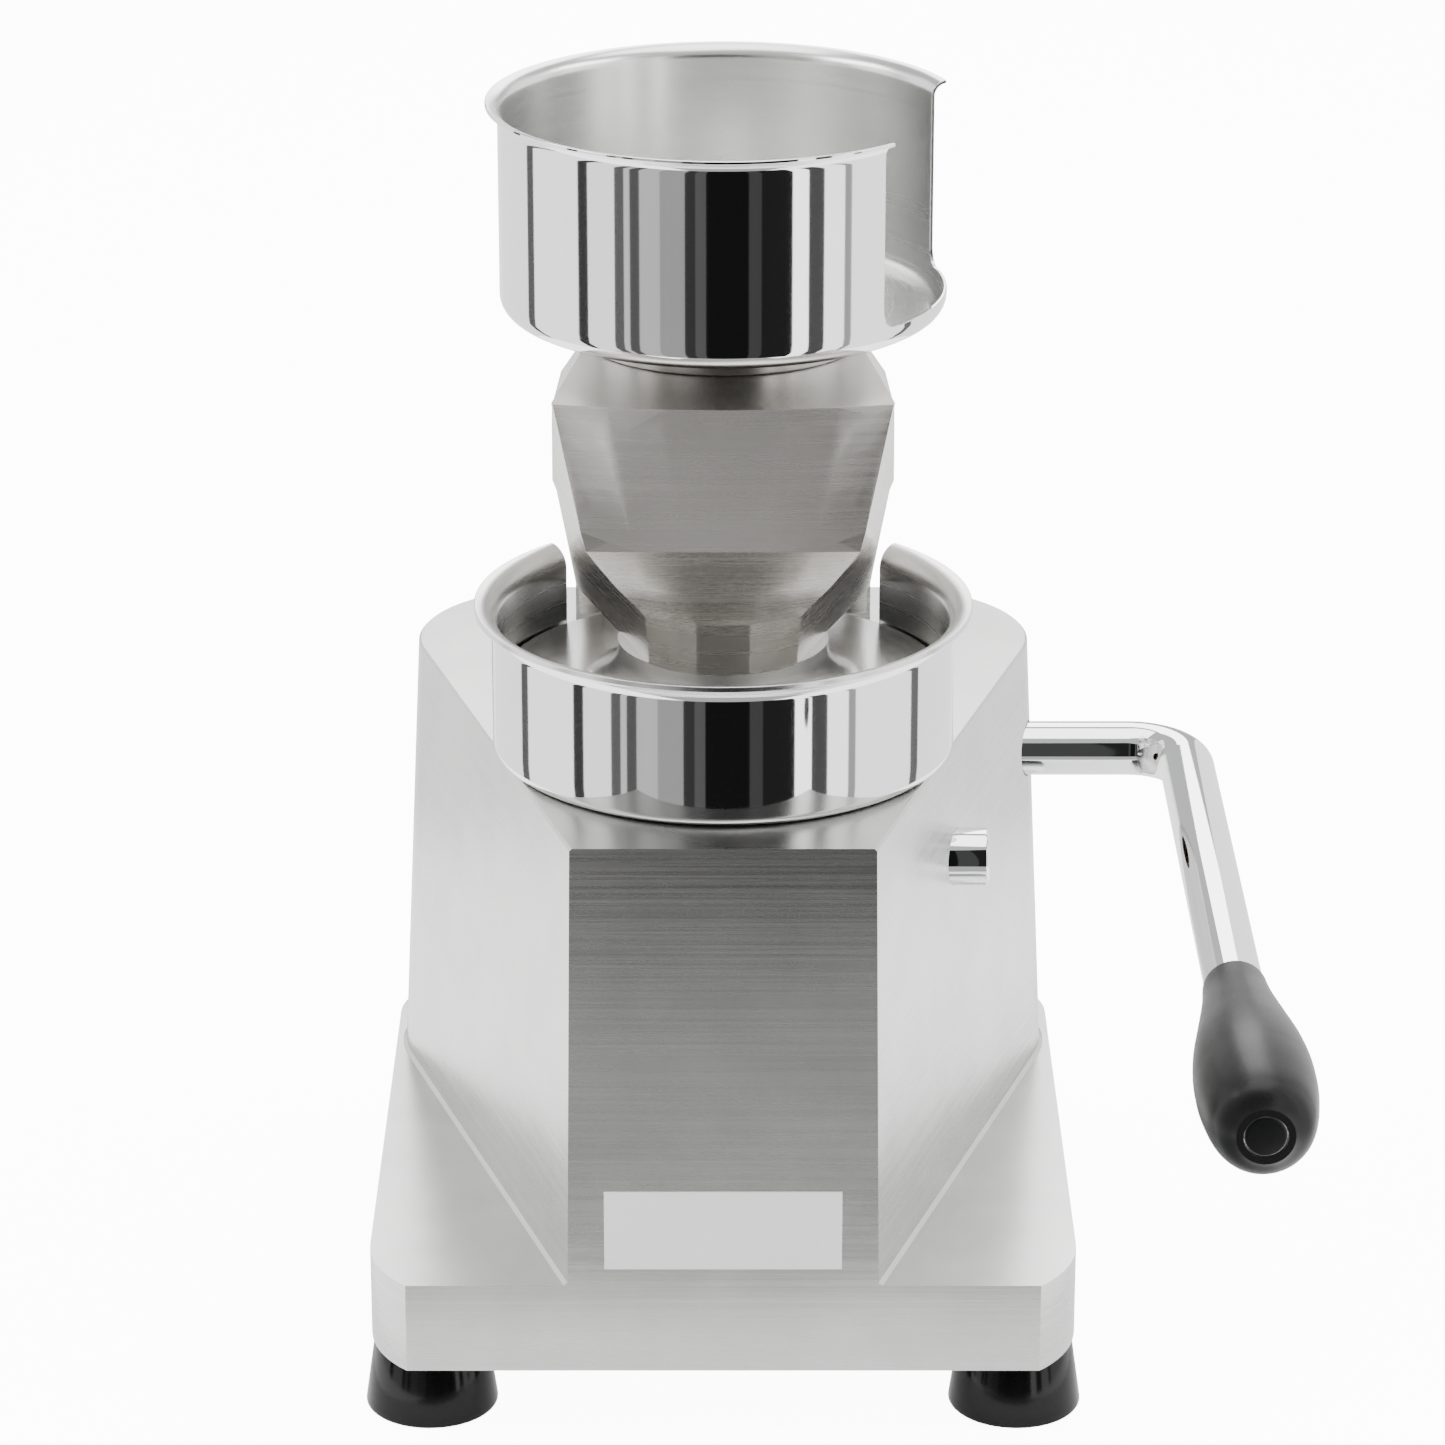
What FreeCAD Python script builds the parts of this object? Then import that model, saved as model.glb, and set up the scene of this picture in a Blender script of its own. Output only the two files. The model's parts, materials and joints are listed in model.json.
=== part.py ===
"""Hand press for round patties: a hollow cast body, a round mould bowl, a hinged pressing head
with a paper cup on top, a lifting plate in the bowl and one side handle that drives them both.

Frame while modelling: X to the right, Y to the back, Z up, with the bowl's axis at X = Y = 0 and
the surface it stands on at Z = 0.  Every sub-part's Placement then moves it so that the origin is
the centre of the whole press's footprint.  Lengths are millimetres and angles are degrees.
"""
import FreeCAD, Part
import Sketcher
import math
import os
import re

V = FreeCAD.Vector
doc = FreeCAD.newDocument("PattyPress")

# ---------------------------------------------------------------- driving dimensions
SIZES = {
    # base block
    "foot_height": 25.0, "foot_low_radius": 22.2, "foot_top_radius": 18.6,
    "foot_inset": 20.0, "foot_front_inset": 27.6, "foot_rear_inset": 29.0,
    "foot_bolt_radius": 4.0, "foot_head_radius": 6.5,
    "base_half_width": 118.0, "base_height": 31.3, "base_corner": 44.0, "base_rear_corner": 34.0,
    "front_land": 18.6, "front_milled": 12.5, "base_ledge": 6.0,
    # hollow column
    "column_height": 155.3, "column_behind_hinge": 29.0, "column_corner": 51.0,
    "column_front_top": 49.2, "column_front_low": 51.2,
    "column_slope_top": 0.302, "column_slope_low": 0.331,
    "wall": 6.0, "column_root": 1.2, "column_top_bevel": 0.8,
    # bowl
    "bowl_inner": 75.0, "bowl_wall": 2.0, "bowl_height": 51.0, "bowl_flare": 7.6,
    "bowl_root": 4.0, "notch_half": 54.6, "notch_depth": 30.0,
    "bowl_screw_circle": 45.0, "bowl_screw_radius": 2.5,
    # pressing disc and the head's underside
    "disc_gap": 1.1, "disc_thick": 8.0, "disc_drop": 26.7, "disc_hub": 35.0, "nose_drop": 13.0,
    "disc_edge": 1.5, "disc_cove": 11.0, "disc_screw_radius": 4.0,
    # head casting
    "head_top": 92.0, "head_wall_x": 43.0, "nose_front": -37.3, "chin_low": 4.5, "crease_rise": 41.0,
    "crease_front": -70.0, "face_top_front": -82.0, "head_before_hinge": 16.0, "heel_drop": 38.0,
    "head_wall": 6.0,
    # paper cup
    "cup_outer": 72.6, "cup_sheet": 1.2, "cup_height": 69.5, "cup_flare": 5.2, "cup_root": 6.0,
    "cup_slot_start": 44.6, "cup_slot_end": 108.4, "cup_slot_sill": 8.0, "cup_slot_corner": 5.0,
    "spacer_radius": 47.0, "spacer_thick": 9.0, "cup_screw_circle": 25.0, "cup_screw_radius": 2.5,
    # handle shaft, grip and knob
    "shaft_radius": 9.5, "shaft_lead": 33.0, "shaft_drop": 89.6, "shaft_left_end": -97.5,
    "arm_x": 162.5, "bend_radius": 20.0, "grip_mouth_y": -118.0, "grip_length": 109.0,
    "grip_radius": 18.8, "grip_mouth_radius": 10.4, "rod_in_grip": 96.0, "cap_radius": 6.5,
    "bush_wall": 3.0, "bush_outer_end": 98.0, "bush_length": 18.0, "run_gap": 0.05,
    # hinge and linkage
    "hinge_behind_bowl": 53.0, "hinge_drop": 16.0, "hinge_pin_radius": 7.0, "ear_radius": 14.0,
    "bracket_bolt_radius": 3.0, "bracket_bolt_spread": 8.0, "bracket_bolt_bite": 12.0,
    "ear_inner": 42.0, "ear_outer": 52.0, "hub_radius": 15.0, "hub_left": -41.0, "hub_right": 31.5,
    "lift_angle": 85.0, "crank_length": 26.0, "crank_angle": 198.35, "eye_radius": 8.0,
    "crank_left": 21.0, "crank_right": 32.0, "link_left": 33.0, "link_right": 41.0,
    "link_pin_radius": 4.0, "crank_hub": 16.0, "link_half": 6.0, "collar_left": -76.0,
    "collar_right": -66.0, "grub_radius": 3.0,
    # lifting plate, rod and yoke
    "plate_side_gap": 1.8, "plate_thick": 3.0, "plate_gap": 0.3, "rod_radius": 8.0,
    "rod_bottom_drop": 150.0, "guide_wall": 4.0, "guide_length": 52.0, "guide_boss": 17.0,
    "yoke_half": 4.0, "yoke_bar": 10.0, "lifter_radius": 28.0, "lifter_pin": 4.0,
    "lifter_left": 8.0, "lifter_right": 18.0, "slot_gap": 0.95, "yoke_shaft_gap": 1.9,
    # stroke-stop plunger in the right flank
    "knob_radius": 9.75, "knob_end": 89.5, "knob_start": 66.0, "knob_y": 0.0, "knob_drop": 92.0,
    "stop_pin_radius": 4.0, "stop_nose": 5.0, "knob_travel": 8.0, "knob_boss": 14.5,
    "knob_boss_start": 50.0, "knob_wall": 6.0, "stop_collar_start": 28.0, "stop_collar_end": 31.0,
    # small things
    "plate_label_half": 39.0, "label_rise": 6.3, "label_height": 28.0, "label_thick": 0.6,
    "cover_low": 25.5, "cover_thick": 2.0, "cover_gap": 1.0, "cover_screw_radius": 2.0,
    "pillar_radius": 11.0,
}

# ---------------------------------------------------------------- heights and places they give
PLACES = {
    "front_plane": "-(bowl_inner + front_land)",
    "hinge_y": "bowl_inner + hinge_behind_bowl",
    "shaft_y": "hinge_y - shaft_lead",
    "column_back": "hinge_y + column_behind_hinge",
    "base_back": "column_back + base_ledge",
    "head_back": "hinge_y - head_before_hinge",
    "foot_x": "base_half_width - foot_inset",
    "foot_front_y": "front_plane + foot_front_inset",
    "foot_rear_y": "base_back - foot_rear_inset",
    "disc_radius": "bowl_inner - disc_gap",
    "plate_radius": "bowl_inner - plate_side_gap",
    "yoke_rear": "shaft_y - shaft_radius - yoke_shaft_gap",
    "plate_label_low": "base_top + label_rise",
    "plate_label_high": "plate_label_low + label_height",
    "window_middle": "shaft_y + shaft_lead * (column_top - shaft_z) / (hinge_z - shaft_z)",
    "window_front": "window_middle - 1.1 * crank_length - link_half - 4",
    "window_rear": "window_middle - 0.8 * crank_length + link_half + 4",
    "base_top": "foot_height + base_height",
    "column_top": "base_top + column_height",
    "rim": "column_top + bowl_height",
    "shaft_z": "rim - shaft_drop",
    "hinge_z": "rim - hinge_drop",
    "head_low": "rim - nose_drop",
    "head_high": "rim + head_top",
    "cup_low": "head_high + spacer_thick",
    "cup_high": "cup_low + cup_height",
    "disc_top": "rim - disc_drop",
    "plate_low": "column_top + bowl_wall + plate_gap",
    "plate_top": "plate_low + plate_thick",
    "rod_bottom": "rim - rod_bottom_drop",
    "knob_z": "rim - knob_drop",
    "grip_end_y": "grip_mouth_y - grip_length",
    "shift_x": "-(arm_x + grip_radius - foot_x - foot_low_radius) / 2",
    "shift_y": "-(base_back + grip_end_y) / 2",
    "crank_dy": "crank_length * cos(crank_angle)",
    "crank_dz": "crank_length * sin(crank_angle)",
    "crank_y": "shaft_y + crank_dy",
    "crank_z": "shaft_z + crank_dz",
    "lug_y": "hinge_y + crank_dy",
    "lug_z": "hinge_z + crank_dz",
    "lifter_y": "shaft_y - lifter_radius * cos(lift_angle / 2)",
    "lifter_z": "shaft_z - lifter_radius * sin(lift_angle / 2)",
    "cavity_top": "column_top - wall",
    "bush_outer": "shaft_radius + run_gap + bush_wall",
    "guide_outer": "rod_radius + run_gap + guide_wall",
    "head_bush_outer": "hinge_pin_radius + run_gap + bush_wall",
}

sheet = doc.addObject("Spreadsheet::Sheet", "Sizes")
for row, (alias, size) in enumerate(SIZES.items(), start=1):
    sheet.set("A%d" % row, alias.replace("_", " "))
    sheet.set("B%d" % row, str(size))
    sheet.setAlias("B%d" % row, alias)
doc.recompute()


def formula(text):
    """Turn words such as 'rim - nose_drop' into an expression on the sheet's cells."""
    def swap(match):
        word = match.group(0)
        if word in PLACES:
            return "(" + formula(PLACES[word]) + ")"
        return "Sizes." + word if word in SIZES else word
    return re.sub(r"[a-z_]+", swap, str(text))


def number(text):
    """The present value of a formula."""
    found = sheet.evalExpression(formula(text))
    return float(getattr(found, "Value", found))


def bind(item, path, text):
    """Tie one property of an object to a formula on the sheet."""
    item.setExpression(path, formula(text))


NODES = []


def keep(item, label, at=("0", "0", "0"), turn=None):
    """Name a finished sub-part and tie its Placement to the frame's shift and its own place."""
    item.Label = label
    if turn is not None:
        item.Placement.Rotation = FreeCAD.Rotation(V(*turn[0]), turn[1])
    bind(item, "Placement.Base.x", "shift_x + (%s)" % at[0])
    bind(item, "Placement.Base.y", "shift_y + (%s)" % at[1])
    bind(item, "Placement.Base.z", at[2])
    NODES.append(item)
    return item


TURNS = {"z": None, "x": ((0, 1, 0), 90), "y": ((1, 0, 0), -90), "-y": ((1, 0, 0), 90),
         "-z": ((1, 0, 0), 180), "-x": ((0, 1, 0), -90)}


def place(item, at, axis="z"):
    """Put a construction solid at a point, its own Z turned along the named axis."""
    if TURNS[axis] is not None:
        item.Placement.Rotation = FreeCAD.Rotation(V(*TURNS[axis][0]), TURNS[axis][1])
    for letter, text in zip("xyz", at):
        bind(item, "Placement.Base." + letter, text)
    return item


def cylinder(name, radius, length, at, axis="z"):
    """A round bar from the point 'at', 'length' long along 'axis'."""
    item = doc.addObject("Part::Cylinder", name)
    bind(item, "Radius", radius)
    bind(item, "Height", length)
    return place(item, at, axis)


def cone(name, start, end, length, at, axis="z"):
    """A tapered bar: its radius goes from 'start' to 'end' along its length."""
    item = doc.addObject("Part::Cone", name)
    bind(item, "Radius1", start)
    bind(item, "Radius2", end)
    bind(item, "Height", length)
    return place(item, at, axis)


def box(name, xs, ys, zs):
    """A block between two values on each axis."""
    item = doc.addObject("Part::Box", name)
    for side, (low, high) in zip(("Length", "Width", "Height"), (xs, ys, zs)):
        bind(item, side, "(%s) - (%s)" % (high, low))
    return place(item, (xs[0], ys[0], zs[0]))


def fuse(name, items):
    item = doc.addObject("Part::MultiFuse", name)
    item.Shapes = items
    return item


def common(name, items):
    item = doc.addObject("Part::MultiCommon", name)
    item.Shapes = items
    return item


def cut(name, base, tools):
    """Take one solid, or several, away from another."""
    item = doc.addObject("Part::Cut", name)
    item.Base = base
    item.Tool = tools if not isinstance(tools, list) else fuse(name + "_tools", tools)
    return item


def group(name, items):
    """Several separate solids kept in one sub-part."""
    item = doc.addObject("Part::Compound", name)
    item.Links = items
    return item


# ---------------------------------------------------------------- sketches and bodies
def plane(body, role):
    """One of a body's own origin planes."""
    return [f for f in body.Origin.OriginFeatures if f.Role == role][0]


def pin_point(sketch, index, end, x_text, y_text):
    """Fix one end of a sketch line by its two distances from the sketch's origin."""
    for kind, text, axis in (("DistanceX", x_text, -2), ("DistanceY", y_text, -1)):
        if text == "0":
            sketch.addConstraint(Sketcher.Constraint("PointOnObject", index, end, axis))
            continue
        key = sketch.addConstraint(Sketcher.Constraint(kind, -1, 1, index, end, number(text)))
        sketch.setExpression("Constraints[%d]" % key, formula(text))


def arc_middle(start, end, radius, side):
    """The point halfway round an arc that bulges to the left (1) or right (-1) of its chord."""
    chord = end - start
    half = chord.Length / 2
    rise = radius - math.sqrt(max(radius * radius - half * half, 0.0))
    left = V(-chord.y, chord.x, 0).normalize()
    return (start + end) * 0.5 + left * (rise * side)


def add_arc(sketch, start, end, radius, side):
    """Add an arc, always drawn anticlockwise, and say which of its ends is the start and which the end."""
    middle = arc_middle(start, end, radius, side)
    if side < 0:
        sketch.addGeometry(Part.Arc(start, middle, end), False)
        return (1, 2)
    sketch.addGeometry(Part.Arc(end, middle, start), False)
    return (2, 1)


def outline(body, name, role, points, lift="0"):
    """A closed, fully fixed sketch.  A point is (x, y), or (x, y, radius, side) to arrive by an arc."""
    sketch = body.newObject("Sketcher::SketchObject", name)
    sketch.AttachmentSupport = [(plane(body, role), "")]
    sketch.MapMode = "FlatFace"
    bind(sketch, "AttachmentOffset.Base.z", lift)
    spots = [V(number(p[0]), number(p[1]), 0) for p in points]
    ends = []
    for i, spot in enumerate(spots):
        after = (i + 1) % len(spots)
        target = points[after]
        if len(target) == 2:
            sketch.addGeometry(Part.LineSegment(spot, spots[after]), False)
            ends.append((1, 2))
            continue
        ends.append(add_arc(sketch, spot, spots[after], number(target[2]), target[3]))
    for i, point in enumerate(points):
        before = (i - 1) % len(points)
        sketch.addConstraint(Sketcher.Constraint("Coincident", before, ends[before][1], i, ends[i][0]))
        pin_point(sketch, i, ends[i][0], point[0], point[1])
        if len(point) == 4:
            key = sketch.addConstraint(Sketcher.Constraint("Radius", before, number(point[2])))
            sketch.setExpression("Constraints[%d]" % key, formula(point[2]))
    return sketch


def turned(label, points):
    """A body turned about its own Z from an outline of radius and height."""
    body = doc.addObject("PartDesign::Body", label)
    sketch = outline(body, label + "_section", "XZ_Plane", points)
    turn = body.newObject("PartDesign::Revolution", label + "_turn")
    turn.Profile = sketch
    turn.ReferenceAxis = (sketch, ["V_Axis"])
    turn.Angle = 360.0
    body.Tip = turn
    return body


def slab(label, role, points, low, high):
    """A body of constant outline between two offsets along the plane's normal."""
    body = doc.addObject("PartDesign::Body", label)
    sketch = outline(body, label + "_outline", role, points, low)
    pad = body.newObject("PartDesign::Pad", label + "_pad")
    pad.Profile = sketch
    bind(pad, "Length", "(%s) - (%s)" % (high, low))
    body.Tip = pad
    return body


def lofted(label, sections):
    """A ruled body through level outlines, each given as (height, points)."""
    body = doc.addObject("PartDesign::Body", label)
    sketches = []
    for i, (height, points) in enumerate(sections):
        sketches.append(outline(body, "%s_level_%d" % (label, i), "XY_Plane", points, height))
    loft = body.newObject("PartDesign::AdditiveLoft", label + "_loft")
    loft.Profile = sketches[0]
    loft.Sections = sketches[1:]
    loft.Ruled = True
    body.Tip = loft
    return body


def edges_where(shape, test):
    """Names of the edges whose two end points and middle pass a test."""
    names = []
    for i, edge in enumerate(shape.Edges, start=1):
        middle = edge.valueAt((edge.FirstParameter + edge.LastParameter) / 2)
        if test(edge, middle):
            names.append("Edge%d" % i)
    return names


def rounded(body, name, size, test):
    """Round the edges of a body's tip that pass a test."""
    doc.recompute()
    tip = body.Tip
    dressed = body.newObject("PartDesign::Fillet", name)
    dressed.Base = (tip, edges_where(tip.Shape, test))
    bind(dressed, "Radius", size)
    body.Tip = dressed


def upright(edge):
    """True for an edge that runs straight up, or nearly so."""
    if edge.Length < 1e-6 or len(edge.Vertexes) < 2:
        return False
    run = edge.Vertexes[1].Point - edge.Vertexes[0].Point
    return abs(run.z) > 0.8 * edge.Length


def mirrored_points(half):
    """Close a half outline, given from front to back at x >= 0, with its left-hand mirror."""
    left = [("-(%s)" % x, y) for x, y in reversed(half) if x != "0"]
    return half + left


# ---------------------------------------------------------------- cast body
def column_points(front_half, slope, inset="0"):
    """The column's outline at one level, with round rear corners, drawn in from the outer face by
    'inset' on the flanks, corners and back (a negative inset grows it), and at the front too
    when the inset is the wall."""
    lean = "sqrt(1 + %s^2)" % slope
    centre_y = "(column_back - column_corner)"
    centre_x = "(%s + %s * (%s - front_plane) - column_corner * %s)" % (front_half, slope, centre_y, lean)
    radius = "(column_corner - (%s))" % inset
    front_y = "front_plane + wall" if inset == "wall" else "front_plane"
    front_x = "%s + %s * (%s - front_plane) - (%s) * %s" % (front_half, slope, front_y, inset, lean)
    flank = ("%s + %s / %s" % (centre_x, radius, lean), "%s - %s * %s / %s" % (centre_y, radius, slope, lean))
    back_y = "%s + %s" % (centre_y, radius)
    return [(front_x, front_y), flank, (centre_x, back_y, radius, -1), ("-" + centre_x, back_y),
            ("-(%s)" % flank[0], flank[1], radius, -1), ("-(%s)" % front_x, front_y)]


def casting_outside():
    """Base block with a milled front, and the tapering column that stands on it."""
    block = slab("base_block", "XY_Plane", mirrored_points([
        ("base_half_width", "front_plane - front_milled"), ("base_half_width", "base_back")]),
        "foot_height", "base_top")
    rear = number("base_back") - 1
    rounded(block, "base_front_corners", "base_corner", lambda e, m: upright(e) and m.y < 0)
    rounded(block, "base_rear_corners", "base_rear_corner", lambda e, m: upright(e) and m.y > rear)
    milled = cut("base_milled", block, box(
        "front_mill", ("-base_half_width - 5", "base_half_width + 5"),
        ("front_plane - front_milled - 5", "front_plane"), ("foot_height - 1", "base_top + 1")))
    column = lofted("column", [
        ("base_top", column_points("column_front_low", "column_slope_low", "-column_root")),
        ("base_top + column_root", column_points("column_front_low", "column_slope_low")),
        ("column_top - column_top_bevel", column_points("column_front_top", "column_slope_top")),
        ("column_top", column_points("column_front_top", "column_slope_top", "column_top_bevel"))])
    return fuse("casting_joined", [milled, column])


def body_casting():
    """The hollow body with its bosses, ears and bores."""
    outside = casting_outside()
    base_room = slab("base_room", "XY_Plane", mirrored_points([
        ("base_half_width - base_corner", "front_plane + wall"),
        ("base_half_width - wall", "front_plane + base_corner - wall"),
        ("base_half_width - wall", "base_back - base_rear_corner"),
        ("base_half_width - base_rear_corner", "base_back - wall")]), "foot_height - 1", "base_top - wall")
    column_room = lofted("column_room", [
        ("base_top - wall - 1", column_points("column_front_low", "column_slope_low", "wall")),
        ("cavity_top", column_points("column_front_top", "column_slope_top", "wall"))])
    shell = cut("casting_shell", outside, [base_room, column_room])
    bosses = []
    for x in ("foot_x", "-foot_x"):
        for y in ("foot_front_y", "foot_rear_y"):
            bosses.append(cylinder("foot_pillar", "pillar_radius", "base_top - foot_height - 1",
                                   (x, y, "foot_height")))
    for x, y in COVER_SCREWS:
        bosses.append(cylinder("cover_boss", "cover_screw_radius + 4", "base_top - cover_low - cover_thick",
                               (x, y, "cover_low + cover_thick")))
    bosses.append(cylinder("guide_boss", "guide_boss", "guide_length - 2", (0, 0, "column_top - guide_length")))
    for x, y in bowl_screw_spots():
        bosses.append(cylinder("bowl_screw_boss", "bowl_screw_radius + 4", "14", (x, y, "column_top - 15")))
    inner = "bush_outer_end - bush_length"
    shaft = ("shaft_y", "shaft_z")
    knob = ("knob_y", "knob_z")
    bosses.append(cylinder("bush_boss_right", "bush_outer + 5", "40", (inner,) + shaft, "x"))
    bosses.append(cylinder("bush_boss_left", "bush_outer + 5", "40", ("-(%s)" % inner,) + shaft, "-x"))
    bosses.append(cylinder("knob_boss_bar", "knob_boss", "40", ("knob_boss_start",) + knob, "x"))
    trimmed = common("bosses_inside", [outside, fuse("bosses", bosses)])
    solid = fuse("casting_solid", [shell, trimmed])
    holes = [
        cylinder("guide_bore", "guide_outer", "guide_length + 4", (0, 0, "column_top - guide_length - 2")),
        cylinder("bush_bore_right", "bush_outer", "bush_length + 2", (inner + " - 2",) + shaft, "x"),
        cylinder("bush_bore_left", "bush_outer", "bush_length + 2", ("-(%s) + 2" % inner,) + shaft, "-x"),
        cylinder("rod_window", "shaft_radius + 0.5", "30", ("bush_outer_end - 1",) + shaft, "x"),
        cylinder("knob_bore", "knob_radius + run_gap", "40", ("knob_boss_start + knob_wall",) + knob, "x"),
        cylinder("stop_pin_bore", "stop_pin_radius + run_gap", "knob_wall + 2", ("knob_boss_start - 1",) + knob, "x"),
        cylinder("guide_side_bore", "stop_pin_radius + 0.3", "guide_boss + 4", (0,) + knob, "x"),
        box("link_window", ("link_left - 2", "link_right + 2"), ("window_front", "window_rear"), ("cavity_top - 1", "column_top + 1")),
    ]
    for x in ("foot_x", "-foot_x"):
        for y in ("foot_front_y", "foot_rear_y"):
            holes.append(cylinder("foot_hole", "foot_bolt_radius", "20", (x, y, "foot_height - 1")))
    for x, y in COVER_SCREWS:
        holes.append(cylinder("cover_hole", "cover_screw_radius", "14", (x, y, "cover_low")))
    for x, y in bowl_screw_spots():
        holes.append(cylinder("bowl_hole", "bowl_screw_radius", "17", (x, y, "column_top - 16")))
    for x in EAR_MIDDLES:
        for y in BRACKET_BOLTS:
            holes.append(cylinder("bracket_roof_hole", "bracket_bolt_radius", "wall + 2", (x, y, "cavity_top - 1")))
    keep(cut("body_casting", solid, holes), "body_casting")


COVER_SCREWS = [("foot_x - 12", "foot_front_y + 21"), ("-(foot_x - 12)", "foot_front_y + 21"),
                ("foot_x / 2", "base_back - wall - 4"), ("-foot_x / 2", "base_back - wall - 4")]
EAR_MIDDLES = ["(ear_inner + ear_outer) / 2", "-(ear_inner + ear_outer) / 2"]
BRACKET_BOLTS = ["hinge_y - bracket_bolt_spread", "hinge_y + bracket_bolt_spread"]


def bowl_screw_spots():
    """Three places on the bowl floor, one at the front."""
    return [("bowl_screw_circle * cos(%d)" % a, "bowl_screw_circle * sin(%d)" % a) for a in (270, 30, 150)]


def cup_screw_spots():
    """Three places on the cup floor, one at the front."""
    return [("cup_screw_circle * cos(%d)" % a, "cup_screw_circle * sin(%d)" % a) for a in (270, 30, 150)]


def base_fittings():
    """Feet, their bolts, the bottom cover and its screws."""
    bolts = []
    for side, x in (("left", "-foot_x"), ("right", "foot_x")):
        for end, y in (("front", "foot_front_y"), ("rear", "foot_rear_y")):
            foot = turned("foot_%s_%s" % (end, side), [
                ("foot_bolt_radius", "10"), ("foot_head_radius + 0.5", "10"), ("foot_head_radius + 0.5", "0"),
                ("foot_low_radius - 1.5", "0"), ("foot_low_radius", "1.5", "1.5", -1), ("foot_low_radius - 0.2", "3"),
                ("foot_top_radius", "foot_height"), ("foot_bolt_radius", "foot_height")])
            keep(foot, "foot_%s_%s" % (end, side), (x, y, "0"))
            head = cylinder("foot_bolt_head", "foot_head_radius", "5.3", (x, y, "4.7"))
            shank = cylinder("foot_bolt_shank", "foot_bolt_radius", "foot_height + 6", (x, y, "9"))
            bolts.append(fuse("foot_bolt", [head, shank]))
    keep(group("foot_bolt_set", bolts), "foot_bolts")
    cover = slab("cover_plate", "XY_Plane", mirrored_points([
        ("base_half_width - base_corner - cover_gap", "front_plane + wall + cover_gap"),
        ("base_half_width - wall - cover_gap", "front_plane + base_corner - wall + cover_gap"),
        ("base_half_width - wall - cover_gap", "base_back - base_rear_corner - cover_gap"),
        ("base_half_width - base_rear_corner - cover_gap", "base_back - wall - cover_gap")]),
        "cover_low", "cover_low + cover_thick")
    tools = []
    screws = []
    for x in ("foot_x", "-foot_x"):
        for y in ("foot_front_y", "foot_rear_y"):
            tools.append(cylinder("cover_foot_hole", "pillar_radius + cover_gap", "6", (x, y, "cover_low - 2")))
    for x, y in COVER_SCREWS:
        tools.append(cylinder("cover_screw_hole", "cover_screw_radius + 0.2", "6", (x, y, "cover_low - 2")))
        head = cone("cover_screw_head", "cover_screw_radius + 1.2", "cover_screw_radius + 2", "1.6",
                    (x, y, "cover_low - 1.6"))
        shank = cylinder("cover_screw_shank", "cover_screw_radius", "12", (x, y, "cover_low - 0.5"))
        screws.append(fuse("cover_screw", [head, shank]))
    keep(cut("bottom_cover", cover, tools), "bottom_cover")
    keep(group("cover_screw_set", screws), "cover_screws")


# ---------------------------------------------------------------- bowl, guide and bushes
def countersunk(name, radius, length, at, axis="-z", sink=None):
    """A countersunk screw whose flat head starts at 'at' and whose shank runs along 'axis'."""
    head = cone(name + "_head", radius + " * 2", radius, sink or radius, at, axis)
    shank = cylinder(name + "_shank", radius, length, at, axis)
    return fuse(name, [head, shank])


def mould_bowl():
    """Bowl with a rolled-out rim, notched at the back for the head's arm."""
    top = "rim"
    low = "column_top"
    flare = "rim - bowl_flare"
    bowl = turned("bowl_turned", [
        ("guide_outer", low), ("bowl_inner + bowl_wall - bowl_root", low),
        ("bowl_inner + bowl_wall", low + " + bowl_root", "bowl_root", -1),
        ("bowl_inner + bowl_wall", flare),
        ("bowl_inner + bowl_flare", "rim - bowl_wall", "bowl_flare - bowl_wall", 1),
        ("bowl_inner + bowl_flare", top),
        ("bowl_inner", flare, "bowl_flare", -1),
        ("bowl_inner", low + " + bowl_wall + 2"),
        ("bowl_inner - 2", low + " + bowl_wall", "2", 1),
        ("guide_outer", low + " + bowl_wall")])
    tools = [box("rear_notch", ("-notch_half", "notch_half"), ("bowl_inner / 3", "bowl_inner + 25"), ("rim - notch_depth", "rim + 5"))]
    screws = []
    for x, y in bowl_screw_spots():
        spot = (x, y, "column_top + bowl_wall")
        tools.append(cone("bowl_sink", "bowl_screw_radius * 2", "bowl_screw_radius", "bowl_wall", spot, "-z"))
        screws.append(countersunk("bowl_screw", "bowl_screw_radius", "12", spot, sink="bowl_wall"))
    keep(cut("mould_bowl", bowl, tools), "mould_bowl")
    keep(group("bowl_screw_set", screws), "bowl_screws")


def tube(label, outer, inner, length, at, axis="z"):
    """A plain bush or collar."""
    body = turned(label, [(inner, "0"), (outer, "0"), (outer, length), (inner, length)])
    return keep(body, label, at, TURNS[axis])


def bushes():
    """Plain bearings pressed into the casting."""
    tube("shaft_bush_right", "bush_outer", "shaft_radius + run_gap", "bush_length",
         ("bush_outer_end - bush_length", "shaft_y", "shaft_z"), "x")
    tube("shaft_bush_left", "bush_outer", "shaft_radius + run_gap", "bush_length",
         ("-bush_outer_end", "shaft_y", "shaft_z"), "x")
    sleeve = turned("guide_sleeve", [
        ("rod_radius + run_gap", "column_top - guide_length"), ("guide_outer", "column_top - guide_length"),
        ("guide_outer", "column_top + bowl_wall"), ("rod_radius + run_gap", "column_top + bowl_wall")])
    side = cylinder("guide_side_hole", "stop_pin_radius + 0.3", "guide_boss", (0, "knob_y", "knob_z"), "x")
    keep(cut("lift_rod_guide", sleeve, side), "lift_rod_guide")


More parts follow.
